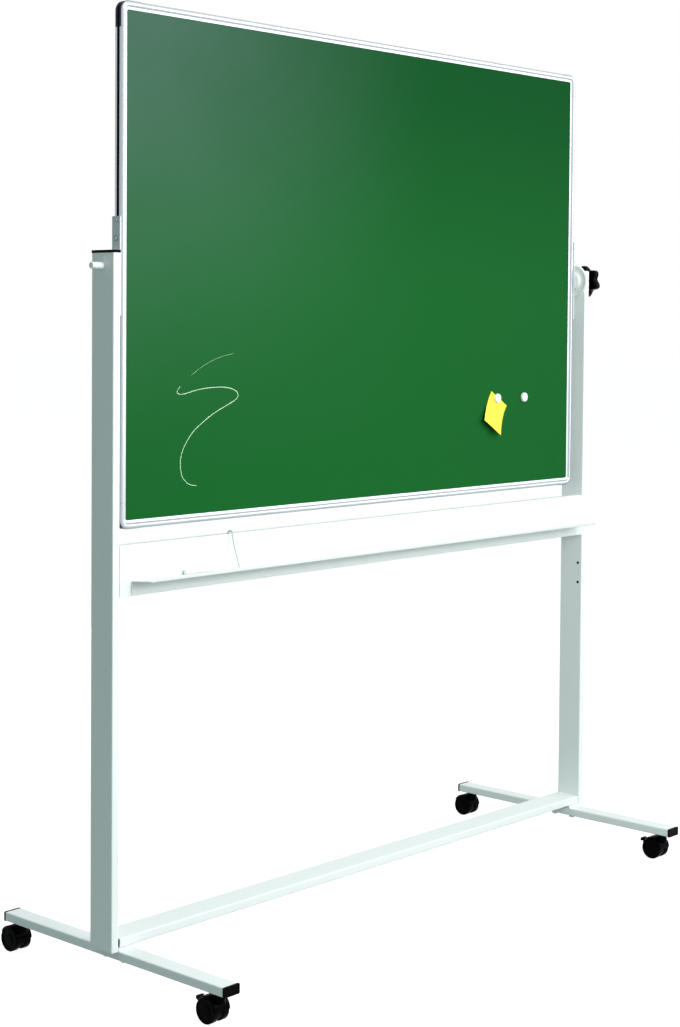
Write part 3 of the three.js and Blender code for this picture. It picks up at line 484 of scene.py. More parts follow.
# u runs inwards from the outside of the frame, v from its middle to a face
GROOVE_DEPTH, GROOVE_HALF, NIB = 5, 3.75, 0.25
SIDE_HALF, FACE_HALF, CREST_HALF, INNER_HALF = 8, 11, 10.7, 6.9
CROWN, BAND, SLOPE_END, FACE_WIDTH = 5.5, 8.4, 11.6, 16.5
SLOT_HALF, SLOT_BOTTOM = 5.7, 7.0
half_section = (
    [(GROOVE_DEPTH, GROOVE_HALF), (NIB, GROOVE_HALF), (0, GROOVE_HALF + NIB)]
    + arc((CROWN, SIDE_HALF), (CROWN, FACE_HALF - SIDE_HALF), 180, 90, 8)
    + [(BAND - 0.6, CREST_HALF + 0.1), (BAND, CREST_HALF - 0.15)]
    + [(SLOPE_END - 0.4, INNER_HALF + 0.15), (SLOPE_END + 0.3, INNER_HALF)]
    + [(FACE_WIDTH - 0.6, INNER_HALF), (FACE_WIDTH - 0.15, INNER_HALF - 0.18)]
    + [(FACE_WIDTH, INNER_HALF - 0.6), (FACE_WIDTH, SLOT_HALF + 0.2)]
    + [(FACE_WIDTH - 0.2, SLOT_HALF), (SLOT_BOTTOM, SLOT_HALF)]
)
frame_section = half_section + [(u, -v) for u, v in reversed(half_section)]
strip_section = filleted([(0.3, -3.7), (0.3, 3.7), (4.9, 3.7), (4.9, -3.7)], 0.3)
half_guard = [(-0.5, -7.6), (-0.5, -3.9), (0.7, -3.7)]
guard_back = [(0.4, 8.1), (1.2, 8.1), (1.2, -8.1), (0.4, -8.1)]
guard_section = half_guard + [(u, -v) for u, v in reversed(half_guard)] + guard_back

HALF_WIDTH, HALF_HEIGHT = 750, 500
CORNER_RADIUS, CORNER_LEG, JOINT = 20, 50, 0.3


def corner_path(sign_x, sign_z, leg, steps=16):
    """From one leg round the corner to the other, clockwise as seen from the green side."""
    places = [(HALF_WIDTH, HALF_HEIGHT - leg), (HALF_WIDTH - leg, HALF_HEIGHT)]
    places[1:1] = arc((HALF_WIDTH - CORNER_RADIUS, HALF_HEIGHT - CORNER_RADIUS),
                      (CORNER_RADIUS, CORNER_RADIUS), 0, 90, steps)
    places = [(sign_x * x, sign_z * z) for x, z in places]
    return places[::-1] if sign_x * sign_z > 0 else places


# %% Geometry trees


def new_tree(name, **inputs):
    """A geometry tree. Its inputs are named with their kinds, and the last is its finish."""
    tree = bpy.data.node_groups.new(name, "GeometryNodeTree")
    tree.interface.new_socket("Geometry", in_out="OUTPUT", socket_type="NodeSocketGeometry")
    for key, kind in (*inputs.items(), ("Finish", "Material")):
        tree.interface.new_socket(key, in_out="INPUT", socket_type="NodeSocket" + kind)
    return tree, tree.nodes.new("NodeGroupInput").outputs


def end_tree(tree, geometry, finish):
    """Instances become real and get the finish, because the export drops instances."""
    real = node(tree, "GeometryNodeRealizeInstances", Geometry=geometry)
    painted = node(tree, "GeometryNodeSetMaterial", Geometry=real, Material=finish)
    node(tree, "NodeGroupOutput", Geometry=painted)


def made_by(tree, name, finish, **values):
    """Runs a tree and returns a plain mesh object with the result."""
    values["Finish"] = FINISH[finish]
    host = new_object(name, bpy.data.meshes.new(name))
    modifier = host.modifiers.new("make", "NODES")
    modifier.node_group = tree
    for socket in tree.interface.items_tree:
        if socket.name in values:
            modifier[socket.identifier] = values[socket.name]
    host.data.update()
    mesh = bpy.data.meshes.new_from_object(host.evaluated_get(dependencies()))
    mesh.name = name
    bpy.data.objects.remove(host)
    return new_object(name, mesh)


sweep_tree, given = new_tree("sweep a section along a path", Path="Object", Section="Object",
                             Place="Vector", Turn="Vector")
path = node(sweep_tree, "GeometryNodeObjectInfo", Object=given["Path"])
section = node(sweep_tree, "GeometryNodeObjectInfo", Object=given["Section"])
skin = node(sweep_tree, "GeometryNodeCurveToMesh", Curve=path.outputs["Geometry"],
            Profile_Curve=section.outputs["Geometry"], Fill_Caps=True)
placed = node(sweep_tree, "GeometryNodeTransform", Geometry=skin,
              Translation=given["Place"], Rotation=given["Turn"])
end_tree(sweep_tree, placed, given["Finish"])

# %% Swept pieces
DOUBLE, SHARP_ANGLE = 0.001, 32
UPWARDS = (math.pi / 2, 0, 0)


def outward(mesh):
    shape = bmesh.new()
    shape.from_mesh(mesh)
    bmesh.ops.remove_doubles(shape, verts=shape.verts, dist=DOUBLE * MM)
    bmesh.ops.recalc_face_normals(shape, faces=shape.faces)
    shape.to_mesh(mesh)
    shape.free()


def smooth(mesh, angle=SHARP_ANGLE):
    outward(mesh)
    mesh.shade_smooth()
    mesh.set_sharp_from_angle(angle=math.radians(angle))


def swept(name, path, section, finish, turn=UPWARDS):
    obj = made_by(sweep_tree, name, finish, Path=path, Section=section,
                  Place=tuple(DATUM), Turn=turn)
    smooth(obj.data)
    return obj


def forget(*objects):
    for obj in objects:
        bpy.data.objects.remove(obj)


section_curve = poly_curve("frame_section", frame_section, True)
strip_curve = poly_curve("groove_section", strip_section, True)
guard_curve = poly_curve("guard_section", guard_section, True)
reach_x, reach_z = (half - CORNER_LEG - JOINT / 2 for half in (HALF_WIDTH, HALF_HEIGHT))
frame_paths = {
    "top_frame_profile": [(-reach_x, HALF_HEIGHT), (reach_x, HALF_HEIGHT)],
    "bottom_frame_profile": [(reach_x, -HALF_HEIGHT), (-reach_x, -HALF_HEIGHT)],
    "left_frame_profile": [(-HALF_WIDTH, -reach_z), (-HALF_WIDTH, reach_z)],
    "right_frame_profile": [(HALF_WIDTH, reach_z), (HALF_WIDTH, -reach_z)],
}
for side, sign_x in SIDES.items():
    for level, sign_z in (("top", 1), ("bottom", -1)):
        places = corner_path(sign_x, sign_z, CORNER_LEG - JOINT / 2)
        frame_paths[f"{level}_{side}_frame_corner"] = places
for name, places in frame_paths.items():
    path = poly_curve(name + "_path", places)
    bar = swept(name + "_swept", path, section_curve, "frame_aluminium")
    put(bar, "board", "frame_aluminium", name)
    if name.endswith("corner"):
        # a dark guard on the corner's outer side: painted shade there
        guard = swept(name.replace("frame_corner", "corner_guard"), path, guard_curve,
                      "corner_plastic")
        put(guard, "board", "black_plastic", finish="corner_plastic")
    forget(path)
loop = [p for sx, sz in ((-1, 1), (1, 1), (1, -1), (-1, -1)) for p in corner_path(sx, sz, CORNER_LEG)]
path = poly_curve("groove_path", loop, True)
put(swept("groove_strip", path, strip_curve, "black_plastic"), "board", "black_plastic")
forget(path, strip_curve, guard_curve, section_curve)
print("swept frame pieces:", len(frame_paths) + 1)

# %% [markdown]
# ## Turned pieces
#
# The friction disc, the bush, the axle cap, the washer, the bolts, the magnets and the
# wheels are all turned or moulded round an axis. Each is an outline of radius and place
# along the axis, with its corners rounded, spun round it.

# %% Turned pieces
AXIS_TURN = {
    "x": Matrix.Identity(4),
    "-x": Matrix.Rotation(math.pi, 4, "Z"),
    "-y": Matrix.Rotation(-math.pi / 2, 4, "Z"),
    "z": Matrix.Rotation(-math.pi / 2, 4, "Y"),
}


def bands(rings, count, closed=False):
    """Faces between rings of count points. Closed joins the last ring to the first."""
    faces = []
    for ring in range(rings if closed else rings - 1):
        here, there = ring * count, (ring + 1) % rings * count
        for i in range(count):
            j = (i + 1) % count
            faces.append((here + i, here + j, there + j, there + i))
    return faces


def capped(name, rings, count, points):
    """A closed body of rings of count points, with a face over each end."""
    ends = [tuple(range(count)), tuple(range((rings - 1) * count, rings * count))]
    return new_mesh(name, points, bands(rings, count) + ends)


def spun(outline, steps=64):
    """A closed outline of (radius, along) in millimetres, spun round the X axis."""
    points = []
    for ring in range(steps):
        angle = 2 * math.pi * ring / steps
        points += [(a * MM, r * math.cos(angle) * MM, r * math.sin(angle) * MM) for r, a in outline]
    return new_mesh("turned", points, bands(steps, len(outline), closed=True))


def rod(radius, low, high, place, steps):
    """A plain round from low to high along X, then set in its place by a matrix."""
    mesh = spun([(0, low), (radius, low), (radius, high), (0, high)], steps)
    mesh.transform(place)
    outward(mesh)
    return mesh


def turned(name, outline, place=DATUM, axis="x", steps=64):
    mesh = spun(outline, steps)
    mesh.name = name
    mesh.transform(Matrix.Translation(place) @ AXIS_TURN[axis])
    smooth(mesh)
    return new_object(name, mesh)


BRACKET_FACE = 754.3
TUBE_INNER, TUBE_OUTER = 770, 788
PLAY, BORE = 0.3, 5.3
from_x, to_x = BRACKET_FACE + PLAY, TUBE_INNER - PLAY
bush = turned("pivot_bush", filleted([(BORE, from_x), (14, from_x), (14, to_x), (BORE, to_x)], 0.8),
              axis="-x")
put(bush, "stand", "white_plastic", "left_pivot_bush")

DISC_THICKNESS = 5
disc_face = to_x - DISC_THICKNESS
disc = turned("friction_disc_moulding", filleted([
    (BORE, from_x, 0.4), (16, from_x, 1.5), (21, BRACKET_FACE + 1.6, 1.0), (21, disc_face, 1.6),
    (33, disc_face, 1.0), (34.5, disc_face - 1.2, 0.8), (37, disc_face - 1.2, 0.8),
    (39, disc_face + 1, 0.8), (39, to_x, 0.4), (BORE, to_x, 0.4)]), steps=96)
put(disc, "stand", "white_plastic", "friction_disc")

AXLE_CAP_LENGTH, AXLE_CAP_RADIUS, WASHER_THICKNESS = 29, 6.5, 2
start_x = TUBE_OUTER + PLAY
end_x = start_x + AXLE_CAP_LENGTH
cap = turned("axle_cap", filleted([(0, start_x), (AXLE_CAP_RADIUS, start_x, 0.5),
                                   (AXLE_CAP_RADIUS, end_x, 2.6), (0, end_x)]), axis="-x", steps=40)
put(cap, "board", "white_plastic", "left_axle_cap")

end_x = start_x + WASHER_THICKNESS
washer = turned("knob_washer", filleted([(BORE, start_x), (13, start_x), (13, end_x), (BORE, end_x)],
                                        0.35))
put(washer, "clamp_washer", "zinc_steel", "clamp_washer")

SHEET_OUTSIDE = -5.7
magnet_outline = filleted([(0, 0), (10.8, 0, 0.3), (11.2, 0.8, 0.3), (10.7, 5.0, 1.2),
                           (8.8, 6.2, 0.8), (6.8, 5.6, 1.0), (0, 5.8)])
for i in (1, 2):
    centre = middle(f"magnet_{i}")
    centre.y = at(0, SHEET_OUTSIDE, 0).y
    magnet = turned(f"round_magnet_{i}", magnet_outline, centre, "-y", 48)
    put(magnet, "board", "white_plastic", f"magnet_{i}")
print("turned pieces:", [o.name for o in (bush, disc, cap, washer, magnet)])

# %% [markdown]
# ## Clamp knob
#
# A moulded star knob: six soft lobes round a rim, a round hub towards the upright, a
# shallow dish in front. The mould leaves large rounds, so the lobes fade out towards
# both faces. Each ring has a place along the axle, a mean radius and a lobe height.

# %% Knob
KNOB_BACK, KNOB_FRONT, RIM_BACK, BORE_DEPTH = 790.6, 831.6, 809.6, 28
HUB, RIM, RIM_ROUND = 15, 34.0, 5.5
LOBES, LOBE, LOBE_FADE, FIRST_LOBE = 6, 4.8, 0.35, math.radians(8)
AROUND = 144


def rim_round(x, direction, steps=7):
    """Rings of a quarter round between a face of the rim and its side."""
    rings = []
    for i in range(steps + 1):
        angle = math.pi / 2 * i / steps
        inset = RIM_ROUND * (1 - math.sin(angle))
        rings.append((x + direction * RIM_ROUND * (1 - math.cos(angle)), RIM - inset,
                      LOBE * (1 - LOBE_FADE * inset / RIM_ROUND)))
    return rings


bore_end = KNOB_BACK + BORE_DEPTH
knob_rings = (
    [(bore_end, 0, 0), (bore_end, BORE, 0), (KNOB_BACK + 0.4, BORE, 0), (KNOB_BACK, BORE + 0.4, 0)]
    + [(KNOB_BACK, HUB - 0.8, 0), (KNOB_BACK + 0.25, HUB - 0.25, 0), (KNOB_BACK + 0.8, HUB, 0)]
    + [(RIM_BACK - 1.5, HUB, 0), (RIM_BACK - 0.4, HUB + 0.4, 0), (RIM_BACK, HUB + 1.5, 0.2)]
    + rim_round(RIM_BACK, 1)
    + rim_round(KNOB_FRONT, -1)[::-1]
    + [(KNOB_FRONT - 0.3, RIM - 9, 1.6), (KNOB_FRONT - 1.4, 18, 0.3), (KNOB_FRONT - 1.6, 14, 0)]
    + [(KNOB_FRONT - 1.4, 10.5, 0), (KNOB_FRONT - 0.4, 9.5, 0), (KNOB_FRONT, 8, 0), (KNOB_FRONT, 0, 0)]
)
knob_points = []
for x, mean, lobe in knob_rings:
    for i in range(AROUND):
        angle = 2 * math.pi * i / AROUND
        radius = mean + lobe * math.cos(LOBES * (angle - FIRST_LOBE))
        knob_points.append((x * MM, radius * math.sin(angle) * MM, radius * math.cos(angle) * MM))
knob_mesh = new_mesh("star_knob", knob_points, bands(len(knob_rings), AROUND))
knob_mesh.transform(Matrix.Translation(DATUM))
smooth(knob_mesh, 40)
put(new_object("star_knob", knob_mesh), "clamp_knob", "black_plastic", "clamp_knob")
print("knob faces:", len(knob_mesh.polygons))

# %% [markdown]
# ## Screws and bolts
#
# Four cross-recess screws hold each pivot bracket on the frame, and two hexagon bolts
# fix each end of the crossbar from inside its channel. One fastener is modelled of each
# kind, and a Geometry Nodes tree sets it on its places, each turned by chance.

# %% Fastener tree
fasten_tree, given = new_tree("set a fastener on its places", Places="Object", Fastener="Object",
                              Seed="Int")
chance = node(fasten_tree, "FunctionNodeRandomValue", {"data_type": "FLOAT"},
              _2=0.0, _3=2 * math.pi, Seed=given["Seed"])
about_x = node(fasten_tree, "ShaderNodeCombineXYZ", X=chance.outputs[1])
on_places = node(fasten_tree, "GeometryNodeObjectInfo", Object=given["Places"])
fastener = node(fasten_tree, "GeometryNodeObjectInfo", Object=given["Fastener"], As_Instance=True)
set_on = node(fasten_tree, "GeometryNodeInstanceOnPoints", Points=on_places.outputs["Geometry"],
              Instance=fastener.outputs["Geometry"], Rotation=about_x)
end_tree(fasten_tree, set_on, given["Finish"])


def fastened(name, model, places, seed, body):
    points = new_object(name + "_places", new_mesh(name + "_places", [tuple(p) for p in places]))
    obj = made_by(fasten_tree, name, "zinc_steel", Places=points, Fastener=model, Seed=seed)
    forget(points)
    outward(obj.data)
    put(obj, body, "zinc_steel")


# %% Screw and bolt models
RECESS_DEPTH, RECESS_ARM, RECESS_WIDTH, RECESS_MIDDLE = 1.6, 3.6, 0.8, 1.2
ORIGIN = Vector((0, 0, 0))
screw_outline = filleted([(0, -1.5), (4.2, -1.5), (4.3, 0.2, 0.2), (3.3, 1.2, 0.8),
                          (1.7, 1.7, 0.8), (0, 1.8)])
hex_outline = [(0, -0.3), (5.4, -0.3), (5.75, 0.1), (5.75, 3.5), (5.2, 4.0), (0, 4.0)]


def cross_recess(obj):
    """Cuts a cross into a screw head that faces +X."""
    mesh = bpy.data.meshes.new("cross")
    shape = bmesh.new()
    for size in ((RECESS_DEPTH, RECESS_ARM, RECESS_WIDTH), (RECESS_DEPTH, RECESS_WIDTH, RECESS_ARM)):
        stretch = Matrix.Diagonal((*(length * MM for length in size), 1))
        at_head = Matrix.Translation((RECESS_MIDDLE * MM, 0, 0))
        bmesh.ops.create_cube(shape, size=1, matrix=at_head @ stretch)
    shape.to_mesh(mesh)
    shape.free()
    cutter = new_object("cross", mesh)
    recess = obj.modifiers.new("cross recess", "BOOLEAN")
    recess.operation, recess.solver, recess.use_self = "DIFFERENCE", "EXACT", True
    recess.object = cutter
    made = bpy.data.meshes.new_from_object(obj.evaluated_get(dependencies()))
    obj.modifiers.clear()
    obj.data = made
    smooth(obj.data, 30)
    forget(cutter)


screws, bolts = {}, {}
for side, axis, other in (("right", "x", "-x"), ("left", "-x", "x")):
    screws[side] = turned("screw_" + side, screw_outline, ORIGIN, steps=32)
    cross_recess(screws[side])
    screws[side].data.transform(AXIS_TURN[axis])
    bolts[side] = turned("bolt_" + side, hex_outline, ORIGIN, other, 6)
print("fastener models:", [o.name for o in (*screws.values(), *bolts.values())])

# %% Brackets, their screws, dark discs in the spare holes and crossbar bolts
SCREW_HEIGHTS = (87, 52, -52, -87)
SEAT_RADIUS, SEAT_DEPTH = 5.9, 1.5
SPARE_HOLE_Y, SPARE_HOLE_DROPS = -20.5, (-696, -744)
CROSSBAR_END, CROSSBAR_MIDDLE_Y, CROSSBAR_MIDDLE_Z, BOLT_PITCH = 768.2, -20, -576, 48
FIRST_BOLT_SEED = 5
hole_disc_outline = filleted([(0, -0.5), (3.3, -0.5, 0.25), (3.3, -0.05), (2.3, -0.05),
                         (2.3, 2, 0.2), (0, 2)])
for seed, (side, sign) in enumerate(SIDES.items()):
    on_bracket = [at(sign * BRACKET_FACE, 0, z) for z in SCREW_HEIGHTS]
    seats = [rod(SEAT_RADIUS, -SEAT_DEPTH, SEAT_DEPTH, Matrix.Translation(place), 32)
             for place in on_bracket]
    refined(side + "_pivot_bracket", 0.3, "board", "grey_steel", cutters=seats)
    # a black disc in each spare hole: painted shade of the dark inside of the hole
    for i, drop in enumerate(SPARE_HOLE_DROPS):
        dark_hole_disc = turned(f"{side}_hole_plug_{i + 1}", hole_disc_outline,
                      at(sign * TUBE_INNER, SPARE_HOLE_Y, drop), "x" if sign > 0 else "-x", 24)
        put(dark_hole_disc, "stand", "black_plastic")
    fastened(side + "_bracket_screws", screws[side], on_bracket, seed, "board")
    in_channel = [at(sign * CROSSBAR_END, CROSSBAR_MIDDLE_Y, CROSSBAR_MIDDLE_Z + d * BOLT_PITCH / 2)
                  for d in (-1, 1)]
    fastened(side + "_crossbar_bolts", bolts[side], in_channel, seed + FIRST_BOLT_SEED, "stand")
forget(*screws.values(), *bolts.values())

# %% Foot bolts
HEAD_RADIUS, HEAD_HEIGHT, SHANK_RADIUS = 7, 8, 4
SOCKET_RADIUS, SOCKET_DEPTH = 2.9, 4
for side in SIDES:
    for end in ENDS:
        name = f"{side}_{end}_foot_bolt"
        low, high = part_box(name)
        length = (high[2] - low[2]) / MM
        shoulder = HEAD_HEIGHT - PLAY
        outline = filleted([
            (0, SOCKET_DEPTH), (SOCKET_RADIUS, SOCKET_DEPTH, 0.1), (SOCKET_RADIUS, 0, 0.3),
            (5.8, 0, 0.6), (HEAD_RADIUS, 1.2, 0.6), (HEAD_RADIUS, shoulder, 0.2),
            (SHANK_RADIUS, shoulder, 0.2), (SHANK_RADIUS, length - 0.6, 0.2),
            (3.4, length, 0.2), (0, length)])
        foot = middle(name)
        foot.z = low[2]
        put(turned(name + "_turned", outline, foot, "z", 40), "stand", "zinc_steel", name)

# %% [markdown]
# ## Wire stay, tray and chalk
#
# The tray is one folded sheet whose lip runs out towards its left end.
# The stay is one bent wire of 3 mm: a tail in a hole of the crossbar, a hook over its
# edge and a long leg down to the tray. It is a round section swept along its bends.

# %% Wire stay
WIRE_X, WIRE_RADIUS, HOOK_RADIUS = -476, 1.5, 6.5
TAIL_Y, TAIL, BAR_TOP = -27.5, 6, -527
HOOK_STEPS, BEND_STEPS = 18, 12
WIRE_BEND, WIRE_FOOT, LEG_FROM = (WIRE_X, -42, -541), (WIRE_X, -61, -592.4), 0.3
wire_places = [(WIRE_X, TAIL_Y, BAR_TOP - TAIL)]
for y, z in arc((TAIL_Y - HOOK_RADIUS, BAR_TOP), (HOOK_RADIUS, HOOK_RADIUS), 0, 180, HOOK_STEPS):
    wire_places.append((WIRE_X, y, z))
hook_end, bend, foot = Vector(wire_places[-1]), Vector(WIRE_BEND), Vector(WIRE_FOOT)
leg_start = bend.lerp(foot, LEG_FROM)
wire_places += [tuple(bent(hook_end, bend, leg_start, i / BEND_STEPS))
                for i in range(1, BEND_STEPS + 1)]
wire_places.append(tuple(foot))
wire_path = poly_curve("wire_path", wire_places)
wire_path.data.twist_mode = "MINIMUM"
circle = poly_curve("wire_section", arc((0, 0), (WIRE_RADIUS, WIRE_RADIUS), 0, 360, 16)[:-1], True)
# white steel wire in a light grey: painted shade of the thin wire
wire = swept("bent_wire", wire_path, circle, "wire_coat", turn=(0, 0, 0))
put(wire, "stand", "white_steel", "wire_stay", finish="wire_coat")
forget(wire_path, circle)
print("wire faces:", len(wire.data.polygons))

# %% Tray
TRAY_BACK_Y, TRAY_FRONT_Y, TRAY_Z, SHEET = -31.3, -91.3, -596, 1.5
TRAY_RISE, LIP, LIP_LEAN, FLANGE, TRAY_REACH = 3.5, 6.5, 2.6, 27, 740
# places along the tray with the lip's height there
STATIONS = [(-TRAY_REACH, 0.8), (-TRAY_REACH + 13, LIP), (TRAY_REACH - 3, LIP), (TRAY_REACH, LIP - 2)]


def tray_section(lip):
    """The folded sheet: flange, shelf and a lip that leans out towards its top."""
    foot, lean = TRAY_Z + TRAY_RISE, LIP_LEAN * lip / LIP
    lip_y = TRAY_FRONT_Y + LIP_LEAN
    back_y = TRAY_BACK_Y - SHEET
    return filleted([
        (TRAY_BACK_Y, TRAY_Z - FLANGE, 0.3), (TRAY_BACK_Y, TRAY_Z, 2.0), (lip_y + SHEET, foot, 0.8),
        (lip_y + SHEET - lean, foot + lip, 0.4), (lip_y - lean, foot + lip, 0.4),
        (lip_y, foot - SHEET, 2.3), (back_y, TRAY_Z - SHEET, 0.8), (back_y, TRAY_Z - FLANGE, 0.3)])


tray_points = [tuple(at(x, y, z)) for x, lip in STATIONS for y, z in tray_section(lip)]
tray_mesh = capped("folded_tray", len(STATIONS), len(tray_points) // len(STATIONS), tray_points)
smooth(tray_mesh)
put(new_object("folded_tray", tray_mesh), "stand", "white_steel", "chalk_tray")
print("tray faces:", len(tray_mesh.polygons))

# %% Stick of chalk
CHALK_LENGTH, CHALK_RADIUS = 80, 5
chalk_outline = filleted([(0, 0), (4.2, 0, 0.5), (CHALK_RADIUS, 1.2, 0.8), (CHALK_RADIUS, 78.4, 0.8),
                          (4.1, CHALK_LENGTH, 0.6), (0, CHALK_LENGTH)])
chalk_start = middle("chalk_stick")
chalk_start.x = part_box("chalk_stick")[0][0]
chalk = turned("stick_of_chalk", chalk_outline, chalk_start, steps=40)
put(chalk, "stand", "chalk", "chalk_stick")
print("chalk faces:", len(chalk.data.polygons))

# %% [markdown]
# ## Castors
#
# A twin wheel castor is moulded nylon: a hood bent round the tops of two wheels, a thin
# rib between them, a boss with the stem. The front castors also have a brake lever. They
# are modelled once, in a frame with the swivel axis upright through the origin and the
# floor at zero, and then set under each end of the feet.

# %% Castor solids
CASTOR_HEIGHT, TRAIL, WHEEL_RADIUS, WHEEL_OUTSIDE = 60, 18, 24, 19.8
WHEEL_CENTRE = Vector((0, TRAIL, WHEEL_RADIUS))
HOOD_INNER, HOOD_OUTER, HOOD_TAPER, TAPER_POWER = 25.2, 27.8, 0.8, 0.7
HOOD_FROM, HOOD_TO, REAR_HOOD_FROM = 40, 176, 28


def around_wheel(section, start, end, steps):
    """Spins a section of (radius, x) round the wheel axle, thinner towards both ends."""
    points = []
    for ring in range(steps + 1):
        angle = math.radians(start + (end - start) * ring / steps)
        full = 1 - HOOD_TAPER * (1 - math.sin(math.pi * ring / steps) ** TAPER_POWER)
        for radius, x in section:
            r = HOOD_INNER + (radius - HOOD_INNER) * full
            points.append((x * MM, (TRAIL + r * math.cos(angle)) * MM,
                           (WHEEL_RADIUS + r * math.sin(angle)) * MM))
    mesh = capped("band", steps + 1, len(section), points)
    outward(mesh)
    return mesh


def across(outline, half, middle_x=0.0):
    """A plate with an outline of (y, z), from one x to the other."""
    count = len(outline)
    points = [((middle_x + s * half) * MM, y * MM, z * MM) for s in (-1, 1) for y, z in outline]
    ends = [tuple(range(count)), tuple(range(count, 2 * count))]
    mesh = new_mesh("plate", points, ends + bands(2, count))
    outward(mesh)
    return mesh


def fused(meshes):
    """Joins closed forms into one body."""
    joined = meshes[0]
    for other in meshes[1:]:
        joined = cut_away(joined, other, "UNION")
    return joined


def wheel_arc(radius, start, end, steps=1):
    """Places (y, z) at a radius round the wheel axle, from one angle to another."""
    return arc((TRAIL, WHEEL_RADIUS), (radius, radius), start, end, steps)


# %% Hood
RIB_HALF, RIB_RADIUS, WEB_RADIUS, CLEAR = 4.5, 22, HOOD_INNER + 0.8, 60
BOSS_RADIUS, BOSS_TOP, BOSS_DEPTH = 11, CASTOR_HEIGHT - 3.6, 16
STEM_RADIUS, STEM_TOP, PIN_RADIUS, PIN_HALF = 4, CASTOR_HEIGHT + 11, 3, 15
KNUCKLE_RADIUS, EAR_HALF, EAR_REACH, LEVER_HALF = 2.6, 1.2, 8, 11
knuckle = wheel_arc(HOOD_OUTER + KNUCKLE_RADIUS / 2, HOOD_FROM - EAR_REACH, HOOD_FROM)[0]
at_axle = Matrix.Translation(WHEEL_CENTRE * MM)
at_knuckle = Matrix.Translation(Vector((0, *knuckle)) * MM)
LOWER_PART = [(-CLEAR, -CLEAR), (CLEAR, -CLEAR), (CLEAR, WHEEL_RADIUS / 2), (-CLEAR, WHEEL_RADIUS / 2)]
hood_section = filleted([(HOOD_INNER, -WHEEL_OUTSIDE, 0.5), (HOOD_OUTER, -WHEEL_OUTSIDE, 1.9),
                         (HOOD_OUTER, WHEEL_OUTSIDE, 1.9), (HOOD_INNER, WHEEL_OUTSIDE, 0.5)], steps=4)


def hood_mesh(braked):
    """Shell, rib, web, boss, stem and axle pin, and two ears for the brake lever."""
    shell = around_wheel(hood_section, HOOD_FROM if braked else REAR_HOOD_FROM, HOOD_TO, 48)
    rib = cut_away(rod(RIB_RADIUS, -RIB_HALF, RIB_HALF, at_axle, 56), across(LOWER_PART, 20))
    web = across(wheel_arc(WEB_RADIUS, HOOD_FROM, HOOD_TO, 30) + wheel_arc(0.5, HOOD_TO, HOOD_FROM),
                 RIB_HALF)
    boss = cut_away(rod(BOSS_RADIUS, BOSS_TOP - BOSS_DEPTH, BOSS_TOP, AXIS_TURN["z"], 40),
                    rod(WEB_RADIUS, -CLEAR / 2, CLEAR / 2, at_axle, 64))
    stem = rod(STEM_RADIUS, BOSS_TOP - 0.8, STEM_TOP, AXIS_TURN["z"], 24)
    parts = [shell, rib, web, boss, stem, rod(PIN_RADIUS, -PIN_HALF, PIN_HALF, at_axle, 24)]
    if braked:
        start, end = HOOD_FROM - EAR_REACH, HOOD_FROM + EAR_REACH
        ear = (wheel_arc(HOOD_INNER, start, end, 6)
               + wheel_arc(HOOD_OUTER + KNUCKLE_RADIUS / 2, end, start, 6))
        for sign in (-1, 1):
            ear_x = sign * (LEVER_HALF + PLAY + EAR_HALF)
            parts += [rod(KNUCKLE_RADIUS + 0.1, ear_x - EAR_HALF, ear_x + EAR_HALF, at_knuckle, 24),
                      across(ear, EAR_HALF, ear_x)]
    return fused(parts)


# %% Brake lever
TAB_HALF, TIP_Y, TIP_Z, SHOE_ANGLE, SHOE_HALF = 6.5, 55, 36, 17, 1.6
PRESSED, SHOE_GAP, SHOE_ROOT = math.radians(15), 0.5, 2.9
LEVER_PIN_RADIUS, LEVER_PIN_HALF = 1.4, LEVER_HALF + 2.7


def lever_mesh():
    """A broad tab on a hinge roll. Its shoe stops just short of the wheels when pressed."""
    y, z = knuckle
    below_y, below_z = (y + TIP_Y) / 2, (z + TIP_Z) / 2 - 3.0
    tab = filleted([(y, z + 1.0), (y, z - KNUCKLE_RADIUS + 0.2), (below_y, below_z, 6),
                    (TIP_Y - 1.5, TIP_Z - 2.0, 0.8), (TIP_Y, TIP_Z - 0.4, 0.8),
                    (TIP_Y - 0.4, TIP_Z + 5.2, 1.2), (y + 5.0, z + 3.6, 1.0), (y + 3.4, z + 1.0, 1.0)])
    roll = rod(KNUCKLE_RADIUS, -LEVER_HALF, LEVER_HALF, at_knuckle, 28)
    pin = rod(LEVER_PIN_RADIUS, -LEVER_PIN_HALF, LEVER_PIN_HALF, at_knuckle, 20)
    shoe = [(y - SHOE_HALF, z)]
    for gap in (SHOE_GAP, SHOE_ROOT):
        edge_y, edge_z = wheel_arc(WHEEL_RADIUS + gap, SHOE_ANGLE, SHOE_ANGLE)[0]
        to_y, to_z = edge_y - y, edge_z - z
        shoe.append((y + to_y * math.cos(PRESSED) - to_z * math.sin(PRESSED),
                     z + to_y * math.sin(PRESSED) + to_z * math.cos(PRESSED)))
    shoe.append((y + SHOE_HALF, z))
    return fused([across(tab, TAB_HALF), roll, pin, across(shoe, LEVER_HALF)])


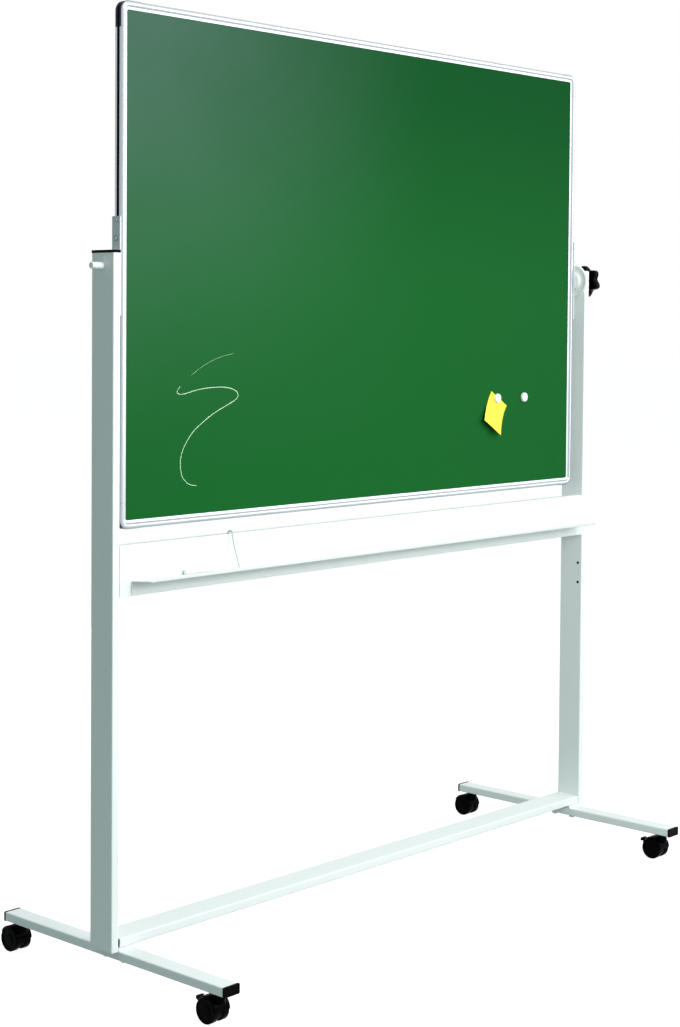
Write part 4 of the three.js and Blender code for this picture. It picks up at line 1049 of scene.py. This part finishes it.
# %% Castors under the feet
wheel_outline = filleted([
    (3.3, 4.8, 0.3), (WHEEL_RADIUS, 4.8, 4.2), (WHEEL_RADIUS, WHEEL_OUTSIDE, 3.6),
    (21.3, WHEEL_OUTSIDE, 0.6), (19.6, 17.8, 1.2), (12.5, 17.8, 1.2), (10.5, 18.6, 0.8),
    (9.6, WHEEL_OUTSIDE, 1.0), (0, WHEEL_OUTSIDE), (0, 15.8), (3.3, 15.8, 0.3)])
wheel_right = spun(wheel_outline, 72)
wheel_right.transform(at_axle)
wheel_left = wheel_right.copy()
wheel_left.transform(Matrix.Diagonal((-1, 1, 1, 1)))
socket_mesh = spun(filleted([(4.3, -3), (13, -3), (13, -0.3), (7, -0.3), (7, 12), (4.3, 12)], 0.4), 48)
socket_mesh.transform(Matrix.Translation((0, 0, CASTOR_HEIGHT * MM)) @ AXIS_TURN["z"])
hoods = {"front": hood_mesh(True), "rear": hood_mesh(False)}
lever = lever_mesh()


def castor_piece(name, mesh, place, body, node_name, edge=0.0):
    made = mesh.copy()
    made.name = name
    made.transform(Matrix.Translation(place))
    smooth(made, 30)
    obj = new_object(name, made)
    if edge:
        rounded_edges(obj, edge, 2, harden=False)
    put(obj, body, "castor_nylon", node_name)


for side in SIDES:
    for end in ENDS:
        corner = f"{side}_{end}"
        swivel = middle(corner + "_castor_socket")
        swivel.z = 0
        for made, mesh, body, replaced, edge in (
                ("socket_moulding", socket_mesh, None, "castor_socket", 0),
                ("hood_moulding", hoods[end], "castor", "castor_hood", 0.5),
                ("left_tread", wheel_left, "left_wheel", "left_wheel", 0),
                ("right_tread", wheel_right, "right_wheel", "right_wheel", 0),
                ("lever_moulding", lever, "brake_lever", "brake_lever", 0.4)):
            if end == "front" or mesh != lever:
                castor_piece(f"{corner}_{made}", mesh, swivel,
                             f"{corner}_{body}" if body else "stand", f"{corner}_{replaced}", edge)

# %% [markdown]
# ## Note on the board
#
# A square yellow paper note hangs under the left magnet. Paper that is held at its top
# curls away from the board towards its free end, so it throws a shadow there.

# %% Paper note
NOTE_CORNERS = [(426.1, -263.7), (486.5, -299.4), (443.2, -367.3), (382.9, -330.0)]
NOTE_LIFT_LEFT, NOTE_LIFT_RIGHT, PAPER = 13.0, 16.0, 0.14
HELD_PART, CURL_POWER = 0.18, 1.6
SHEET_FACE, NOTE_OFF, DUST_OFF = -5.4, 0.08, 0.03
COLUMNS, ROWS = 16, 18
top_left, top_right, low_right, low_left = (Vector(c) for c in NOTE_CORNERS)
note_points = []
for row in range(ROWS + 1):
    for column in range(COLUMNS + 1):
        s, t = column / COLUMNS, row / ROWS
        flat = top_left.lerp(top_right, s).lerp(low_left.lerp(low_right, s), t)
        curl = max(0.0, t - HELD_PART) / (1 - HELD_PART)
        lift = (NOTE_LIFT_LEFT * (1 - s) + NOTE_LIFT_RIGHT * s) * curl ** CURL_POWER
        note_points.append(tuple(at(flat.x, SHEET_FACE - NOTE_OFF - lift, flat.y)))
note_faces = []
for row in range(ROWS):
    for column in range(COLUMNS):
        first = row * (COLUMNS + 1) + column
        note_faces.append((first, first + 1, first + COLUMNS + 2, first + COLUMNS + 1))
note_mesh = new_mesh("paper_note", note_points, note_faces)
note_mesh.shade_smooth()
note = new_object("paper_note", note_mesh)
thickness = note.modifiers.new("paper thickness", "SOLIDIFY")
thickness.thickness, thickness.offset = PAPER * MM, 0
put(note, "board", "chalk", finish="paper")
print("note faces:", len(note_faces))

# %% [markdown]
# ## Chalk strokes
#
# A chalk stroke isn't a line: it is a band of small grains rubbed off on the high
# points of the enamel. A Geometry Nodes tree strews grains along the stroke's path, and
# the path's radius sets how wide they scatter, so the stroke thins out at its ends.

# %% Strewing tree
LARGEST_GRAIN, SMALLEST_GRAIN, SIZE_SEED = 1.0, 0.35, 7
strew_tree, given = new_tree("strew chalk grains along a stroke", Path="Object", Grain="Object",
                             Grains="Int", Seed="Int")
stroke_path = node(strew_tree, "GeometryNodeObjectInfo", Object=given["Path"])
one_grain = node(strew_tree, "GeometryNodeObjectInfo", Object=given["Grain"], As_Instance=True)
along = node(strew_tree, "GeometryNodeCurveToPoints", {"mode": "COUNT"},
             Curve=stroke_path.outputs["Geometry"], Count=given["Grains"])
scatter = node(strew_tree, "FunctionNodeRandomValue", {"data_type": "FLOAT_VECTOR"},
               _0=(-1, 0, -1), _1=(1, 0, 1), Seed=given["Seed"])
spread = node(strew_tree, "ShaderNodeVectorMath", {"operation": "SCALE"},
              Vector=scatter, Scale=node(strew_tree, "GeometryNodeInputRadius"))
strewn = node(strew_tree, "GeometryNodeSetPosition", Geometry=along, Offset=spread)
size = node(strew_tree, "FunctionNodeRandomValue", {"data_type": "FLOAT"},
            _2=SMALLEST_GRAIN, _3=LARGEST_GRAIN, Seed=SIZE_SEED)
grains = node(strew_tree, "GeometryNodeInstanceOnPoints", Points=strewn, Scale=size.outputs[1],
              Instance=one_grain.outputs["Geometry"])
end_tree(strew_tree, grains, given["Finish"])

# %% Chalk strokes
GRAIN_WIDE, GRAIN_HIGH, GRAIN_THICK = 0.55, 0.4, 0.16
FIRST_STROKE_SEED, PRESSED_LEAST, STROKE_START, STROKE_SHARE = 3, 0.35, 0.06, 0.9
grain_points = [(x, 0, z) for x, z in arc((0, 0), (GRAIN_WIDE * MM, GRAIN_HIGH * MM), 0, 360, 6)[:-1]]
grain_points.append((0, -GRAIN_THICK * MM, 0))
grain = new_object("grain", new_mesh("grain", grain_points, [(i, (i + 1) % 6, 6) for i in range(6)]))
# grains, half width in mm, places from start to end
STROKES = {
    "chalk_stroke": (4200, 0.7, [
        (-589.4, -231.6), (-597.5, -241.2), (-591.6, -246.2), (-575.7, -245.6), (-539.0, -238.6),
        (-501.7, -235.2), (-468.7, -235.2), (-444.8, -238.8), (-430.3, -245.1), (-426.4, -253.6),
        (-435.0, -261.8), (-458.9, -271.9), (-492.0, -285.2), (-524.6, -302.4), (-552.3, -321.1),
        (-572.8, -343.3), (-585.0, -365.7), (-587.6, -385.1), (-583.8, -405.0), (-574.6, -417.0),
        (-560.8, -425.3), (-542.4, -428.1)]),
    "faint_chalk_stroke": (170, 0.45, [
        (-440.5, -167.8), (-473.9, -174.2), (-506.8, -183.7), (-534.6, -196.6), (-557.6, -209.4)]),
}


def smooth_line(places, between=8):
    """A Catmull-Rom line through the places."""
    line = []
    for i in range(len(places) - 1):
        a, b = Vector(places[max(i - 1, 0)]), Vector(places[i])
        c, d = Vector(places[i + 1]), Vector(places[min(i + 2, len(places) - 1)])
        for k in range(between):
            t = k / between
            line.append(0.5 * (2 * b + (c - a) * t + (2 * a - 5 * b + 4 * c - d) * t ** 2
                               + (3 * b - a - 3 * c + d) * t ** 3))
    return line + [Vector(places[-1])]


for seed, (name, (count, half_width, places)) in enumerate(STROKES.items()):
    on_sheet = [(p.x, SHEET_FACE - DUST_OFF, p.y) for p in smooth_line(places)]
    stroke = poly_curve(name + "_path", on_sheet)
    held = stroke.data.splines[0].points
    for i, point in enumerate(held):
        share = STROKE_START + i / (len(held) - 1) * STROKE_SHARE
        pressure = PRESSED_LEAST + (1 - PRESSED_LEAST) * math.sin(math.pi * min(1.0, share))
        point.radius = half_width * MM * pressure
    dust = made_by(strew_tree, name, "chalk_dust", Path=stroke, Grain=grain, Grains=count,
                   Seed=seed + FIRST_STROKE_SEED)
    dust.data.transform(Matrix.Translation(DATUM))
    put(dust, "board", "chalk", finish="chalk_dust")
    forget(stroke)
    print(name, "faces:", len(dust.data.polygons))
forget(grain)
